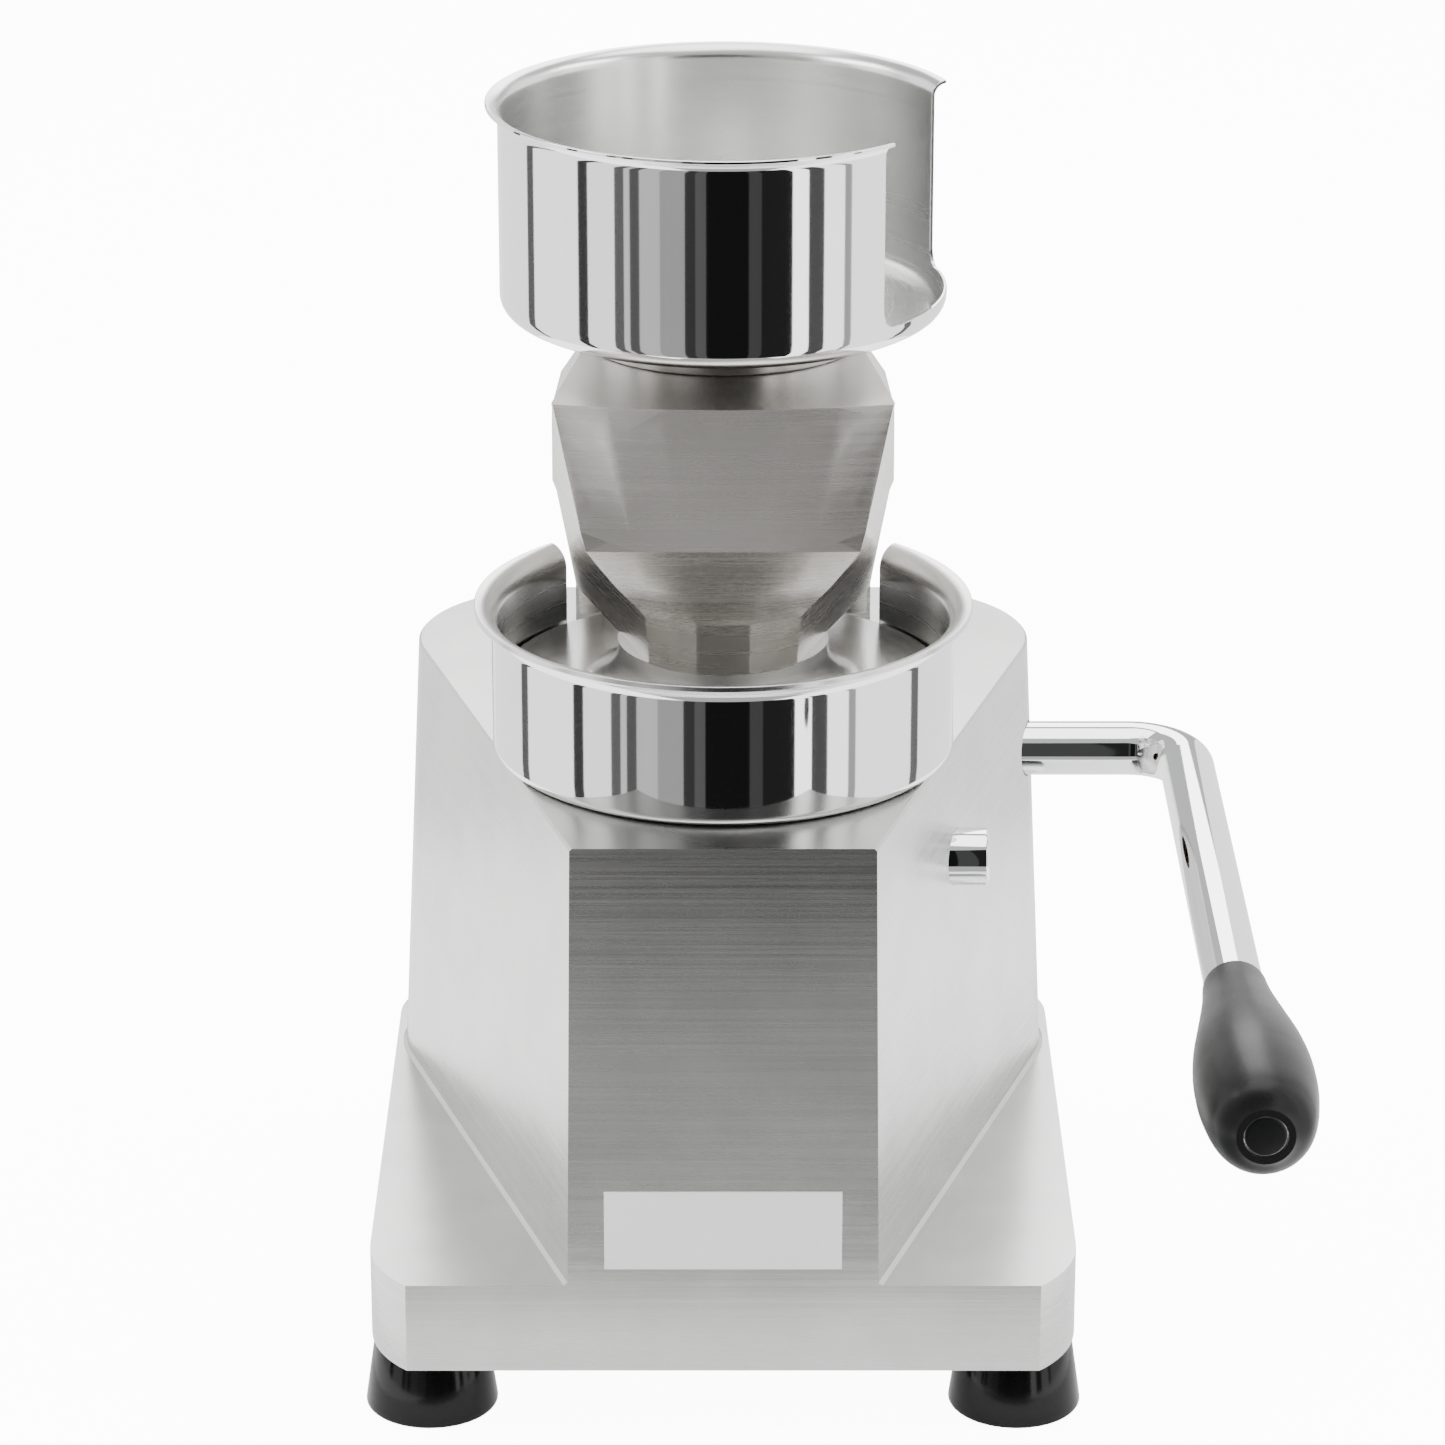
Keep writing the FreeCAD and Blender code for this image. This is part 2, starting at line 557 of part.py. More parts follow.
# ---------------------------------------------------------------- hinge brackets, pin and label
def hinge_brackets():
    """Two ears that stand on the column behind the bowl, and the bolts that hold them from inside."""
    bolts = []
    for side, middle in zip(("right", "left"), EAR_MIDDLES):
        low = "%s - (ear_outer - ear_inner) / 2" % middle
        high = "%s + (ear_outer - ear_inner) / 2" % middle
        stem = box("ear_stem_" + side, (low, high), ("hinge_y - ear_radius", "hinge_y + ear_radius"),
                   ("column_top", "hinge_z"))
        head = cylinder("ear_head_" + side, "ear_radius", "ear_outer - ear_inner", (low, "hinge_y", "hinge_z"), "x")
        tools = [cylinder("hinge_bore", "hinge_pin_radius", "ear_outer", ("%s - 9" % low, "hinge_y", "hinge_z"), "x"),
                 cylinder("hinge_grub_hole", "grub_radius", "ear_radius", (middle, "hinge_y + 4", "hinge_z"), "y")]
        for y in BRACKET_BOLTS:
            tools.append(cylinder("bracket_hole", "bracket_bolt_radius", "bracket_bolt_bite + 1",
                                  (middle, y, "column_top - 1")))
            bolt_head = cylinder("bracket_bolt_head", "bracket_bolt_radius + 2", "4", (middle, y, "cavity_top - 4"))
            shank = cylinder("bracket_bolt_shank", "bracket_bolt_radius", "wall + bracket_bolt_bite",
                             (middle, y, "cavity_top"))
            bolts.append(fuse("bracket_bolt", [bolt_head, shank]))
        keep(cut("hinge_ear_" + side, fuse("ear_" + side, [stem, head]), tools), "hinge_bracket_" + side)
    keep(group("bracket_bolt_set", bolts), "hinge_bracket_bolts")


def hinge_parts():
    """The head's hinge pin and the two grub screws that hold it in the ears."""
    pin = cylinder("hinge_pin_bar", "hinge_pin_radius", "2 * ear_outer", ("-ear_outer", "hinge_y", "hinge_z"), "x")
    flats = [cylinder("hinge_pin_flat", "grub_radius", "10", (x, "hinge_y + 4", "hinge_z"), "y") for x in EAR_MIDDLES]
    keep(cut("hinge_pin_cut", pin, flats), "hinge_pin")
    grubs = [cylinder("hinge_grub", "grub_radius", "ear_radius - 5", (x, "hinge_y + 4", "hinge_z"), "y")
             for x in EAR_MIDDLES]
    keep(group("hinge_grub_set", grubs), "hinge_grub_screws")


def label_plate():
    """A blank plate on the front face."""
    keep(box("label_block", ("-plate_label_half", "plate_label_half"), ("front_plane - label_thick", "front_plane"),
             ("plate_label_low", "plate_label_high")), "label_plate",
         ("-plate_label_half", "front_plane - label_thick", "plate_label_low"))


# ---------------------------------------------------------------- handle, cranks and link
def handle_rod():
    """One bent bar: the shaft across the body and the arm that runs forward on the right."""
    body = doc.addObject("PartDesign::Body", "handle_rod")
    section = body.newObject("Sketcher::SketchObject", "rod_section")
    section.AttachmentSupport = [(plane(body, "YZ_Plane"), "")]
    section.MapMode = "FlatFace"
    bind(section, "AttachmentOffset.Base.z", "shaft_left_end")
    section.addGeometry(Part.Circle(V(0, 0, 0), V(0, 0, 1), number("shaft_radius")), False)
    section.addConstraint(Sketcher.Constraint("Coincident", 0, 3, -1, 1))
    key = section.addConstraint(Sketcher.Constraint("Radius", 0, number("shaft_radius")))
    section.setExpression("Constraints[%d]" % key, formula("shaft_radius"))
    path = body.newObject("Sketcher::SketchObject", "rod_path")
    path.AttachmentSupport = [(plane(body, "XY_Plane"), "")]
    path.MapMode = "FlatFace"
    spots = [("shaft_left_end", "0"), ("arm_x - bend_radius", "0"), ("arm_x", "-bend_radius"),
             ("arm_x", "grip_mouth_y - rod_in_grip - shaft_y")]
    points = [V(number(x), number(y), 0) for x, y in spots]
    path.addGeometry(Part.LineSegment(points[0], points[1]), False)
    first, last = add_arc(path, points[1], points[2], number("bend_radius"), 1)
    path.addGeometry(Part.LineSegment(points[2], points[3]), False)
    path.addConstraint(Sketcher.Constraint("Coincident", 0, 2, 1, first))
    path.addConstraint(Sketcher.Constraint("Coincident", 1, last, 2, 1))
    for index, end, spot in ((0, 1, 0), (0, 2, 1), (2, 1, 2), (2, 2, 3)):
        pin_point(path, index, end, spots[spot][0], spots[spot][1])
    key = path.addConstraint(Sketcher.Constraint("Radius", 1, number("bend_radius")))
    path.setExpression("Constraints[%d]" % key, formula("bend_radius"))
    pipe = body.newObject("PartDesign::AdditivePipe", "rod_pipe")
    pipe.Profile = section
    pipe.Spine = path
    body.Tip = pipe
    keep(body, "handle_rod", ("0", "shaft_y", "shaft_z"))


def handle_grip():
    """Club-shaped grip, bored for the rod, with a flat round cap in its end."""
    length = number("grip_length")
    mouth = number("grip_mouth_radius")
    fat = number("grip_radius")
    fractions = [(0.0, 0.0), (0.12, 0.15), (0.30, 0.50), (0.48, 0.85), (0.64, 1.0), (0.80, 0.93), (0.94, 0.60)]
    spots = [V(mouth + (fat - mouth) * rise, 0, length * along) for along, rise in fractions]
    tip = V(number("cap_radius") + 2.5, 0, length)
    curve = Part.BSplineCurve()
    curve.interpolate(spots + [tip])
    bore = number("shaft_radius")
    deep = number("rod_in_grip")
    cap = number("cap_radius")
    sink = length - 4.0
    inside = [tip, V(cap, 0, length), V(cap, 0, sink), V(0, 0, sink), V(0, 0, deep), V(bore, 0, deep),
              V(bore, 0, 0), spots[0]]
    edges = [curve.toShape()] + [Part.makeLine(a, b) for a, b in zip(inside, inside[1:])]
    grip = doc.addObject("Part::Feature", "grip_solid")
    grip.Shape = Part.Face(Part.Wire(edges)).revolve(V(0, 0, 0), V(0, 0, 1), 360)
    keep(grip, "handle_grip", ("arm_x", "grip_mouth_y", "shaft_z"), TURNS["-y"])
    cap_body = turned("grip_cap_turned", [("0", "0"), ("cap_radius", "0"), ("cap_radius", "3.0"),
                                          ("cap_radius - 0.8", "3.8"), ("0", "3.8")])
    keep(cap_body, "grip_cap", ("arm_x", "grip_end_y + 4", "shaft_z"), TURNS["-y"])


def eye_bar(name, left, right, start, end, start_radius, end_radius, half):
    """A flat bar with two round eyes, lying in a plane of constant x."""
    thick = "(%s) - (%s)" % (right, left)
    web = doc.addObject("Part::Box", name + "_web")
    run_y = "((%s) - (%s))" % (end[0], start[0])
    run_z = "((%s) - (%s))" % (end[1], start[1])
    bind(web, "Length", thick)
    bind(web, "Width", "sqrt(%s^2 + %s^2)" % (run_y, run_z))
    bind(web, "Height", "2 * (%s)" % half)
    lean = math.degrees(math.atan2(number(run_z), number(run_y)))
    web.Placement.Rotation = FreeCAD.Rotation(V(1, 0, 0), lean)
    reach = "sqrt(%s^2 + %s^2)" % (run_y, run_z)
    bind(web, "Placement.Base.x", left)
    bind(web, "Placement.Base.y", "%s + (%s) * %s / %s" % (start[0], half, run_z, reach))
    bind(web, "Placement.Base.z", "%s - (%s) * %s / %s" % (start[1], half, run_y, reach))
    eyes = [cylinder(name + "_eye_a", start_radius, thick, (left, start[0], start[1]), "x"),
            cylinder(name + "_eye_b", end_radius, thick, (left, end[0], end[1]), "x")]
    return fuse(name + "_blank", [web] + eyes)


def cranks_and_link():
    """Two cranks clamped on the shaft, their pins, the connecting link and the locating collar."""
    shaft = ("shaft_y", "shaft_z")
    for label, left, right, end in (("press_crank", "crank_left", "crank_right", ("crank_y", "crank_z")),
                                    ("lift_crank", "lifter_left", "lifter_right", ("lifter_y", "lifter_z"))):
        blank = eye_bar(label, left, right, shaft, end, "crank_hub", "eye_radius", "eye_radius - 0.5")
        wide = "(%s) - (%s) + 2" % (right, left)
        keep(cut(label + "_bored", blank, [
            cylinder(label + "_bore", "shaft_radius", wide, ("%s - 1" % left,) + shaft, "x"),
            cylinder(label + "_pin_hole", "link_pin_radius", wide, ("%s - 1" % left,) + end, "x"),
            cylinder(label + "_grub_hole", "grub_radius", "crank_hub + 4",
                     ("(%s + %s) / 2" % (left, right), "shaft_y", "shaft_z"), "-z")]), label)
    keep(cylinder("press_crank_bar", "link_pin_radius", "link_right + 0.6 - crank_left",
                  ("crank_left", "crank_y", "crank_z"), "x"), "press_crank_pin", ("crank_left", "crank_y", "crank_z"),
         TURNS["x"])
    keep(cylinder("lift_crank_bar", "lifter_pin", "lifter_right + yoke_half + 2",
                  ("-yoke_half - 2", "lifter_y", "lifter_z"), "x"), "lift_crank_pin",
         ("-yoke_half - 2", "lifter_y", "lifter_z"), TURNS["x"])
    collar = turned("collar_turned", [("shaft_radius", "0"), ("crank_hub", "0"),
                                      ("crank_hub", "collar_right - collar_left"),
                                      ("shaft_radius", "collar_right - collar_left")])
    keep(collar, "shaft_collar", ("collar_left", "shaft_y", "shaft_z"), TURNS["x"])
    grubs = []
    for left, right in (("crank_left", "crank_right"), ("lifter_left", "lifter_right")):
        grubs.append(cylinder("crank_grub", "grub_radius", "crank_hub - shaft_radius",
                              ("(%s + %s) / 2" % (left, right), "shaft_y", "shaft_z - shaft_radius"), "-z"))
    keep(group("crank_grub_set", grubs), "crank_grub_screws")
    link = eye_bar("link", "link_left", "link_right", ("crank_y", "crank_z"), ("lug_y", "lug_z"),
                   "eye_radius", "eye_radius", "link_half")
    keep(cut("connecting_link", link, [
        cylinder("link_low_bore", "link_pin_radius + run_gap", "12", ("link_left - 2", "crank_y", "crank_z"), "x"),
        cylinder("link_high_bore", "link_pin_radius + run_gap", "12", ("link_left - 2", "lug_y", "lug_z"), "x")]),
        "connecting_link")


# ---------------------------------------------------------------- pressing head
def head_levels():
    """Half outlines of the head at rising levels, each front to back, with heights above the rim."""
    nose = ["nose_front", "nose_front + 0.9", "nose_front + 4.6"]
    face = "face_top_front"
    return [
        ("-nose_drop", [("0", nose[0]), ("8.6", nose[1]), ("17.6", nose[2]), ("24", "nose_front + 10.8"),
                        ("50", "50"), ("50", "60"), ("50", "head_back")]),
        ("chin_low", [("0", nose[0]), ("8.8", nose[1]), ("18.2", nose[2]), ("25.6", "nose_front + 9"),
                      ("53.4", "52"), ("53.6", "62"), ("52", "head_back")]),
        ("20.2", [("0", "nose_front - 14.1"), ("11", "nose_front - 14"), ("23", "nose_front - 12.8"),
                  ("34", "nose_front - 9"), ("56.6", "54"), ("56.8", "63"), ("54", "head_back")]),
        ("23.4", [("0", "nose_front - 17"), ("12", "nose_front - 16.9"), ("24", "nose_front - 15.9"),
                  ("35.6", "nose_front - 12.6"), ("58", "55"), ("58.2", "64"), ("55", "head_back")]),
        ("crease_rise", [("0", "crease_front"), ("14", "crease_front"), ("28", "crease_front"),
                         ("43.5", "crease_front + 0.4"), ("58", "57"), ("58.2", "62"), ("56", "head_back - 8")]),
        ("48", [("0", "crease_front - 1.7"), ("15", "crease_front - 1.6"), ("30", "crease_front - 1.3"),
                ("45.2", "crease_front - 0.5"), ("58", "59"), ("58", "61"), ("56", "head_back - 12")]),
        ("head_top", [("0", face), ("18", face + " + 0.7"), ("36", face + " + 2.7"), ("53.4", face + " + 6.2"),
                      ("53.9", face + " + 7.5"), ("34", "60"), ("32", "68")]),
    ]


def head_casting():
    """The nose, face and arm of the head, hollow from the back, with its hinge hub."""
    skin = lofted("head_skin", [("rim + (%s)" % level, mirrored_points(half)) for level, half in head_levels()])
    heel = slab("head_heel", "YZ_Plane", [
        ("head_back - 28", "rim + 5"), ("head_back - 28", "rim - heel_drop + 10"),
        ("head_back - 20", "rim - heel_drop"), ("head_back", "rim - heel_drop"), ("head_back", "rim + 5")],
        "-head_wall_x - head_wall - 1", "head_wall_x + head_wall + 1")
    room_x = ("-head_wall_x + 9", "head_wall_x - 9")
    room = box("head_room", room_x, ("12", "62"), ("rim + 4", "head_high - 2 * head_wall"))
    rear_room = box("head_rear_room", room_x, ("40", "head_back - 24"), ("head_low - 5", "rim + crease_rise + 1"))
    link_room = box("link_room", ("-head_wall_x", "head_wall_x"), ("head_back - 34", "head_back + 2"),
                    ("rim - 60", "rim + 30"))
    shell = cut("head_shell", fuse("head_outside", [skin, heel]), [room, rear_room, link_room])
    web = slab("hub_web", "YZ_Plane", [
        ("hinge_y - 32", "rim + 36"), ("hinge_y - 16", "rim + 22"), ("hinge_y + 10", "hinge_z + 11"),
        ("hinge_y + 4", "hinge_z - 13"), ("hinge_y - 12", "hinge_z + 2"), ("hinge_y - 28", "rim + 12")],
        "-head_wall_x - 2", "head_wall_x + 2")
    clear = [box("web_side_right", ("hub_right", "70"), ("hinge_y - 20", "hinge_y + 30"), ("rim - 60", "rim + 4")),
             box("web_side_left", ("-70", "hub_left"), ("hinge_y - 15.5", "hinge_y + 30"), ("rim - 60", "rim + 4"))]
    web = cut("hub_web_trimmed", web, clear)
    hub = cylinder("hinge_hub", "hub_radius", "hub_right - hub_left", ("hub_left", "hinge_y", "hinge_z"), "x")
    solid = fuse("head_solid", [shell, web, hub])
    holes = [
        cylinder("head_hinge_bore", "head_bush_outer", "2 * ear_outer", ("-ear_outer", "hinge_y", "hinge_z"), "x"),
        cylinder("lug_pin_hole", "link_pin_radius", "20", ("head_wall_x - 2", "lug_y", "lug_z"), "x"),
        cylinder("disc_screw_hole", "disc_screw_radius", "26", (0, 0, "head_low - 1"))]
    for x, y in cup_screw_spots():
        holes.append(cylinder("cup_hole", "cup_screw_radius", "11", (x, y, "head_high - 10")))
    keep(cut("head_casting", solid, holes), "head_casting")
    tube("head_bush_left", "head_bush_outer", "hinge_pin_radius + run_gap", "20",
         ("hub_left", "hinge_y", "hinge_z"), "x")
    tube("head_bush_right", "head_bush_outer", "hinge_pin_radius + run_gap", "20",
         ("hub_right - 20", "hinge_y", "hinge_z"), "x")
    keep(cylinder("lug_bar", "link_pin_radius", "ear_outer - link_left", ("link_left", "lug_y", "lug_z"), "x"),
         "head_link_pin", ("link_left - 0.5", "lug_y", "lug_z"), TURNS["x"])


def press_disc():
    """Pressing disc with a coved hub, and the screw that holds it to the nose."""
    low = "disc_top - disc_thick"
    disc = turned("disc_turned", [
        ("0", low), ("disc_radius - disc_edge", low), ("disc_radius", low + " + disc_edge"),
        ("disc_radius", "disc_top - 0.5"), ("disc_radius - 0.5", "disc_top"), ("disc_hub + disc_cove", "disc_top"),
        ("disc_hub", "disc_top + disc_cove", "disc_cove", 1), ("disc_hub", "head_low"), ("0", "head_low")])
    spot = (0, 0, low)
    tools = [cone("disc_sink", "2 * disc_screw_radius", "disc_screw_radius", "disc_screw_radius", spot),
             cylinder("disc_hole", "disc_screw_radius", "40", spot)]
    keep(cut("press_disc", disc, tools), "press_disc")
    keep(countersunk("disc_screw_solid", "disc_screw_radius", "head_low - (%s) + 20" % low, spot, "z"), "disc_screw")


def paper_cup():
    """Cup for the paper discs, open through a tall slot, on its spacer."""
    root = "cup_root"
    sheet_metal = "cup_sheet"
    flare = "cup_high - cup_flare"
    cup = turned("cup_turned", [
        ("0", "cup_low"), ("cup_outer - " + root, "cup_low"), ("cup_outer", "cup_low + " + root, root, -1),
        ("cup_outer", flare),
        ("cup_outer - cup_sheet + cup_flare", "cup_high - " + sheet_metal, "cup_flare - " + sheet_metal, 1),
        ("cup_outer - cup_sheet + cup_flare", "cup_high"),
        ("cup_outer - cup_sheet", flare, "cup_flare", -1),
        ("cup_outer - cup_sheet", "cup_low + " + root),
        ("cup_outer - " + root, "cup_low + cup_sheet", root + " - cup_sheet", 1),
        ("0", "cup_low + cup_sheet")])
    wedge = doc.addObject("Part::Cylinder", "slot_wedge")
    bind(wedge, "Radius", "cup_outer + 20")
    bind(wedge, "Height", "cup_height")
    bind(wedge, "Angle", "cup_slot_end - cup_slot_start")
    wedge.Placement.Rotation = FreeCAD.Rotation(V(0, 0, 1), number("cup_slot_start") - 90)
    place(wedge, (0, 0, "cup_low + cup_slot_sill"))
    doc.recompute()
    softened = doc.addObject("Part::Fillet", "slot_wedge_rounded")
    softened.Base = wedge
    low = number("cup_low + cup_slot_sill")
    radius = number("cup_slot_corner")
    softened.Edges = [(i, radius, radius) for i, e in enumerate(wedge.Shape.Edges, start=1)
                      if e.Curve.TypeId == "Part::GeomLine"
                      and abs(e.BoundBox.ZMin - low) < 0.01 and e.BoundBox.ZLength < 0.01]
    tools = [softened]
    screws = []
    for x, y in cup_screw_spots():
        spot = (x, y, "cup_low + cup_sheet")
        tools.append(cylinder("cup_floor_hole", "cup_screw_radius", "6", (x, y, "cup_low - 2")))
        head = cylinder("cup_screw_head", "cup_screw_radius * 1.9", "2.6", spot)
        shank = cylinder("cup_screw_shank", "cup_screw_radius", "spacer_thick + cup_sheet + 8", spot, "-z")
        screws.append(fuse("cup_screw", [head, shank]))
    keep(cut("paper_cup", cup, tools), "paper_cup")
    keep(group("cup_screw_set", screws), "cup_screws")
    pad = turned("spacer_turned", [("0", "head_high"), ("spacer_radius - 1", "head_high"),
                                   ("spacer_radius", "head_high + 1"), ("spacer_radius", "cup_low"), ("0", "cup_low")])
    drills = [cylinder("spacer_hole", "cup_screw_radius", "spacer_thick + 4", (x, y, "head_high - 2"))
              for x, y in cup_screw_spots()]
    keep(cut("cup_spacer", pad, drills), "cup_spacer")


# ---------------------------------------------------------------- lifting plate and its yoke
def lifting_parts():
    """Plate, rod and slotted yoke that the second crank pin raises."""
    top = "plate_top"
    plate = turned("lift_plate_turned", [
        ("0", "plate_low"), ("plate_radius - 1", "plate_low"), ("plate_radius", "plate_low + 1"),
        ("plate_radius", top), ("0", top)])
    spot = (0, 0, top)
    keep(cut("lift_plate", plate, [
        cone("lift_plate_sink", "6", "3", "3", spot, "-z"),
        cylinder("lift_plate_hole", "3", "8", (0, 0, "plate_low - 2"))]), "lift_plate")
    keep(countersunk("lift_plate_screw_solid", "3", "18", spot), "lift_plate_screw")
    rod = cylinder("lift_rod_bar", "rod_radius", "plate_low - rod_bottom", (0, 0, "rod_bottom"))
    travel = "2 * lifter_radius * sin(lift_angle / 2)"
    groove = box("stop_groove", ("stop_nose - 0.5", "rod_radius + 2"),
                 ("-stop_pin_radius - 0.2", "stop_pin_radius + 0.2"),
                 ("knob_z - stop_pin_radius - 0.6 - %s" % travel, "knob_z + stop_pin_radius + 0.6"))
    keep(cut("lift_rod", rod, [
        groove, cylinder("rod_top_hole", "3", "16", (0, 0, "plate_low"), "-z"),
        cylinder("rod_low_hole", "3", "18", (0, 0, "rod_bottom"))]), "lift_rod")
    low = "rod_bottom - yoke_bar"
    slot_half = "(lifter_pin + slot_gap)"
    arm = slab("yoke_plate", "YZ_Plane", [
        ("-rod_radius - 3", low), ("yoke_rear - 8", low), ("yoke_rear", "%s + 8" % low),
        ("yoke_rear", "lifter_z + 11"), ("yoke_rear - 26", "lifter_z + 11"), ("yoke_rear - 26", "rod_bottom + 8"),
        ("yoke_rear - 34", "rod_bottom"), ("-rod_radius - 3", "rod_bottom")], "-yoke_half", "yoke_half")
    seat = cylinder("yoke_seat", "rod_radius + 3", "yoke_bar", (0, 0, low))
    slot = box("yoke_slot", ("-yoke_half - 2", "yoke_half + 2"),
               ("shaft_y - lifter_radius - lifter_pin - 0.8", "lifter_y + lifter_pin + 0.8"),
               ("lifter_z - %s" % slot_half, "lifter_z + %s" % slot_half))
    keep(cut("lift_yoke", fuse("yoke_solid", [arm, seat]), [
        slot, cylinder("yoke_hole", "3", "yoke_bar + 4", (0, 0, low + " - 2"))]), "lift_yoke")
    head = cylinder("yoke_bolt_head", "5", "4", (0, 0, low + " - 4"))
    shank = cylinder("yoke_bolt_shank", "3", "yoke_bar + 14", (0, 0, low))
    keep(fuse("yoke_bolt_solid", [head, shank]), "yoke_bolt")


# ---------------------------------------------------------------- stroke-stop plunger
def stop_plunger():
    """Spring-loaded knob whose pin runs in the lift rod's groove; pulling it frees the rod."""
    knob = turned("knob_turned", [
        ("0", "0"), ("knob_radius", "0"), ("knob_radius", "knob_end - knob_start - 1"),
        ("knob_radius - 1", "knob_end - knob_start"), ("0", "knob_end - knob_start")])
    keep(knob, "stop_knob", ("knob_start", "knob_y", "knob_z"), TURNS["x"])
    keep(cylinder("stop_pin_bar", "stop_pin_radius", "knob_start - stop_nose", ("stop_nose", "knob_y", "knob_z"), "x"),
         "stop_pin", ("stop_nose", "knob_y", "knob_z"), TURNS["x"])
    tube("stop_collar", "stop_pin_radius + 4", "stop_pin_radius", "stop_collar_end - stop_collar_start",
         ("stop_collar_start", "knob_y", "knob_z"), "x")
    length = number("knob_boss_start - stop_collar_end")
    wire = 0.7
    helix = Part.makeHelix(length * 0.92 / 6, length * 0.92, number("stop_pin_radius") + 2.0)
    start = helix.Vertexes[0].Point
    ring = Part.Wire(Part.makeCircle(wire, start, V(0, 1, 0)))
    spring = doc.addObject("Part::Feature", "spring_solid")
    spring.Shape = Part.Wire(helix).makePipeShell([ring], True, True)
    keep(spring, "stop_spring", ("stop_collar_end + %s * 0.04" % length, "knob_y", "knob_z"), TURNS["x"])


# ---------------------------------------------------------------- build, check and write
body_casting()
base_fittings()
mould_bowl()
bushes()
hinge_brackets()
hinge_parts()
label_plate()
handle_rod()
handle_grip()
cranks_and_link()
head_casting()
press_disc()
paper_cup()
lifting_parts()
stop_plunger()
doc.recompute()

for item in doc.Objects:
    if "Invalid" in item.State or "Error" in item.State:
        raise RuntimeError("object failed: %s %s" % (item.Name, item.State))
for item in NODES:
    if item.Shape.isNull() or not item.Shape.isValid():
        raise RuntimeError("bad shape: " + item.Label)

os.makedirs("parts", exist_ok=True)
for item in NODES:
    item.Shape.exportStep("parts/%s.step" % item.Label)
print("%d sub-parts" % len(NODES))
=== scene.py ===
"""Looks of a hand press for round patties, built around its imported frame.

Every length is in metres, in the frame of the press: +Z up, the operator at -Y, the handle on the +X side.
"""
import json
import logging
import math
from dataclasses import dataclass
from enum import Enum
from typing import Callable, Sequence

import bmesh
import bpy
from mathutils import Matrix, Vector


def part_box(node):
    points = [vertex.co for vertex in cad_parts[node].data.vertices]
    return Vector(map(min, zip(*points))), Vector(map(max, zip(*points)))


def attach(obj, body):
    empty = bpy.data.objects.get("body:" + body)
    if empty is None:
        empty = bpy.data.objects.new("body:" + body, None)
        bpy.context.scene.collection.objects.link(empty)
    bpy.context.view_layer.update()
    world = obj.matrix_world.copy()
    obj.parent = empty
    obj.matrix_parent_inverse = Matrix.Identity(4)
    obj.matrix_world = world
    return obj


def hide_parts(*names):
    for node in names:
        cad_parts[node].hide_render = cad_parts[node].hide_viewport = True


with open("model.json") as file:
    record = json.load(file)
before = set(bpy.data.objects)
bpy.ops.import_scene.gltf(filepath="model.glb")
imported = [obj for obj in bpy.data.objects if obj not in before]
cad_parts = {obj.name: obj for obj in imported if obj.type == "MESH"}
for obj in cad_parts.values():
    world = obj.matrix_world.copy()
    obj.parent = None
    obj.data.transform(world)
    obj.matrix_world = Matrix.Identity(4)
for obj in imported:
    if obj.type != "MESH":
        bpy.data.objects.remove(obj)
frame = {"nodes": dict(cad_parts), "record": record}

LOG = logging.getLogger("press")
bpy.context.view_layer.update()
Outline = list[tuple[float, float]]
HALF = math.pi / 2


# ---------------------------------------------------------------- finishes
class Grain(Enum):
    """Which way the fine marks of a finish run."""

    ACROSS = "across"
    UPRIGHT = "upright"
    TURNED = "turned"
    EVEN = "even"


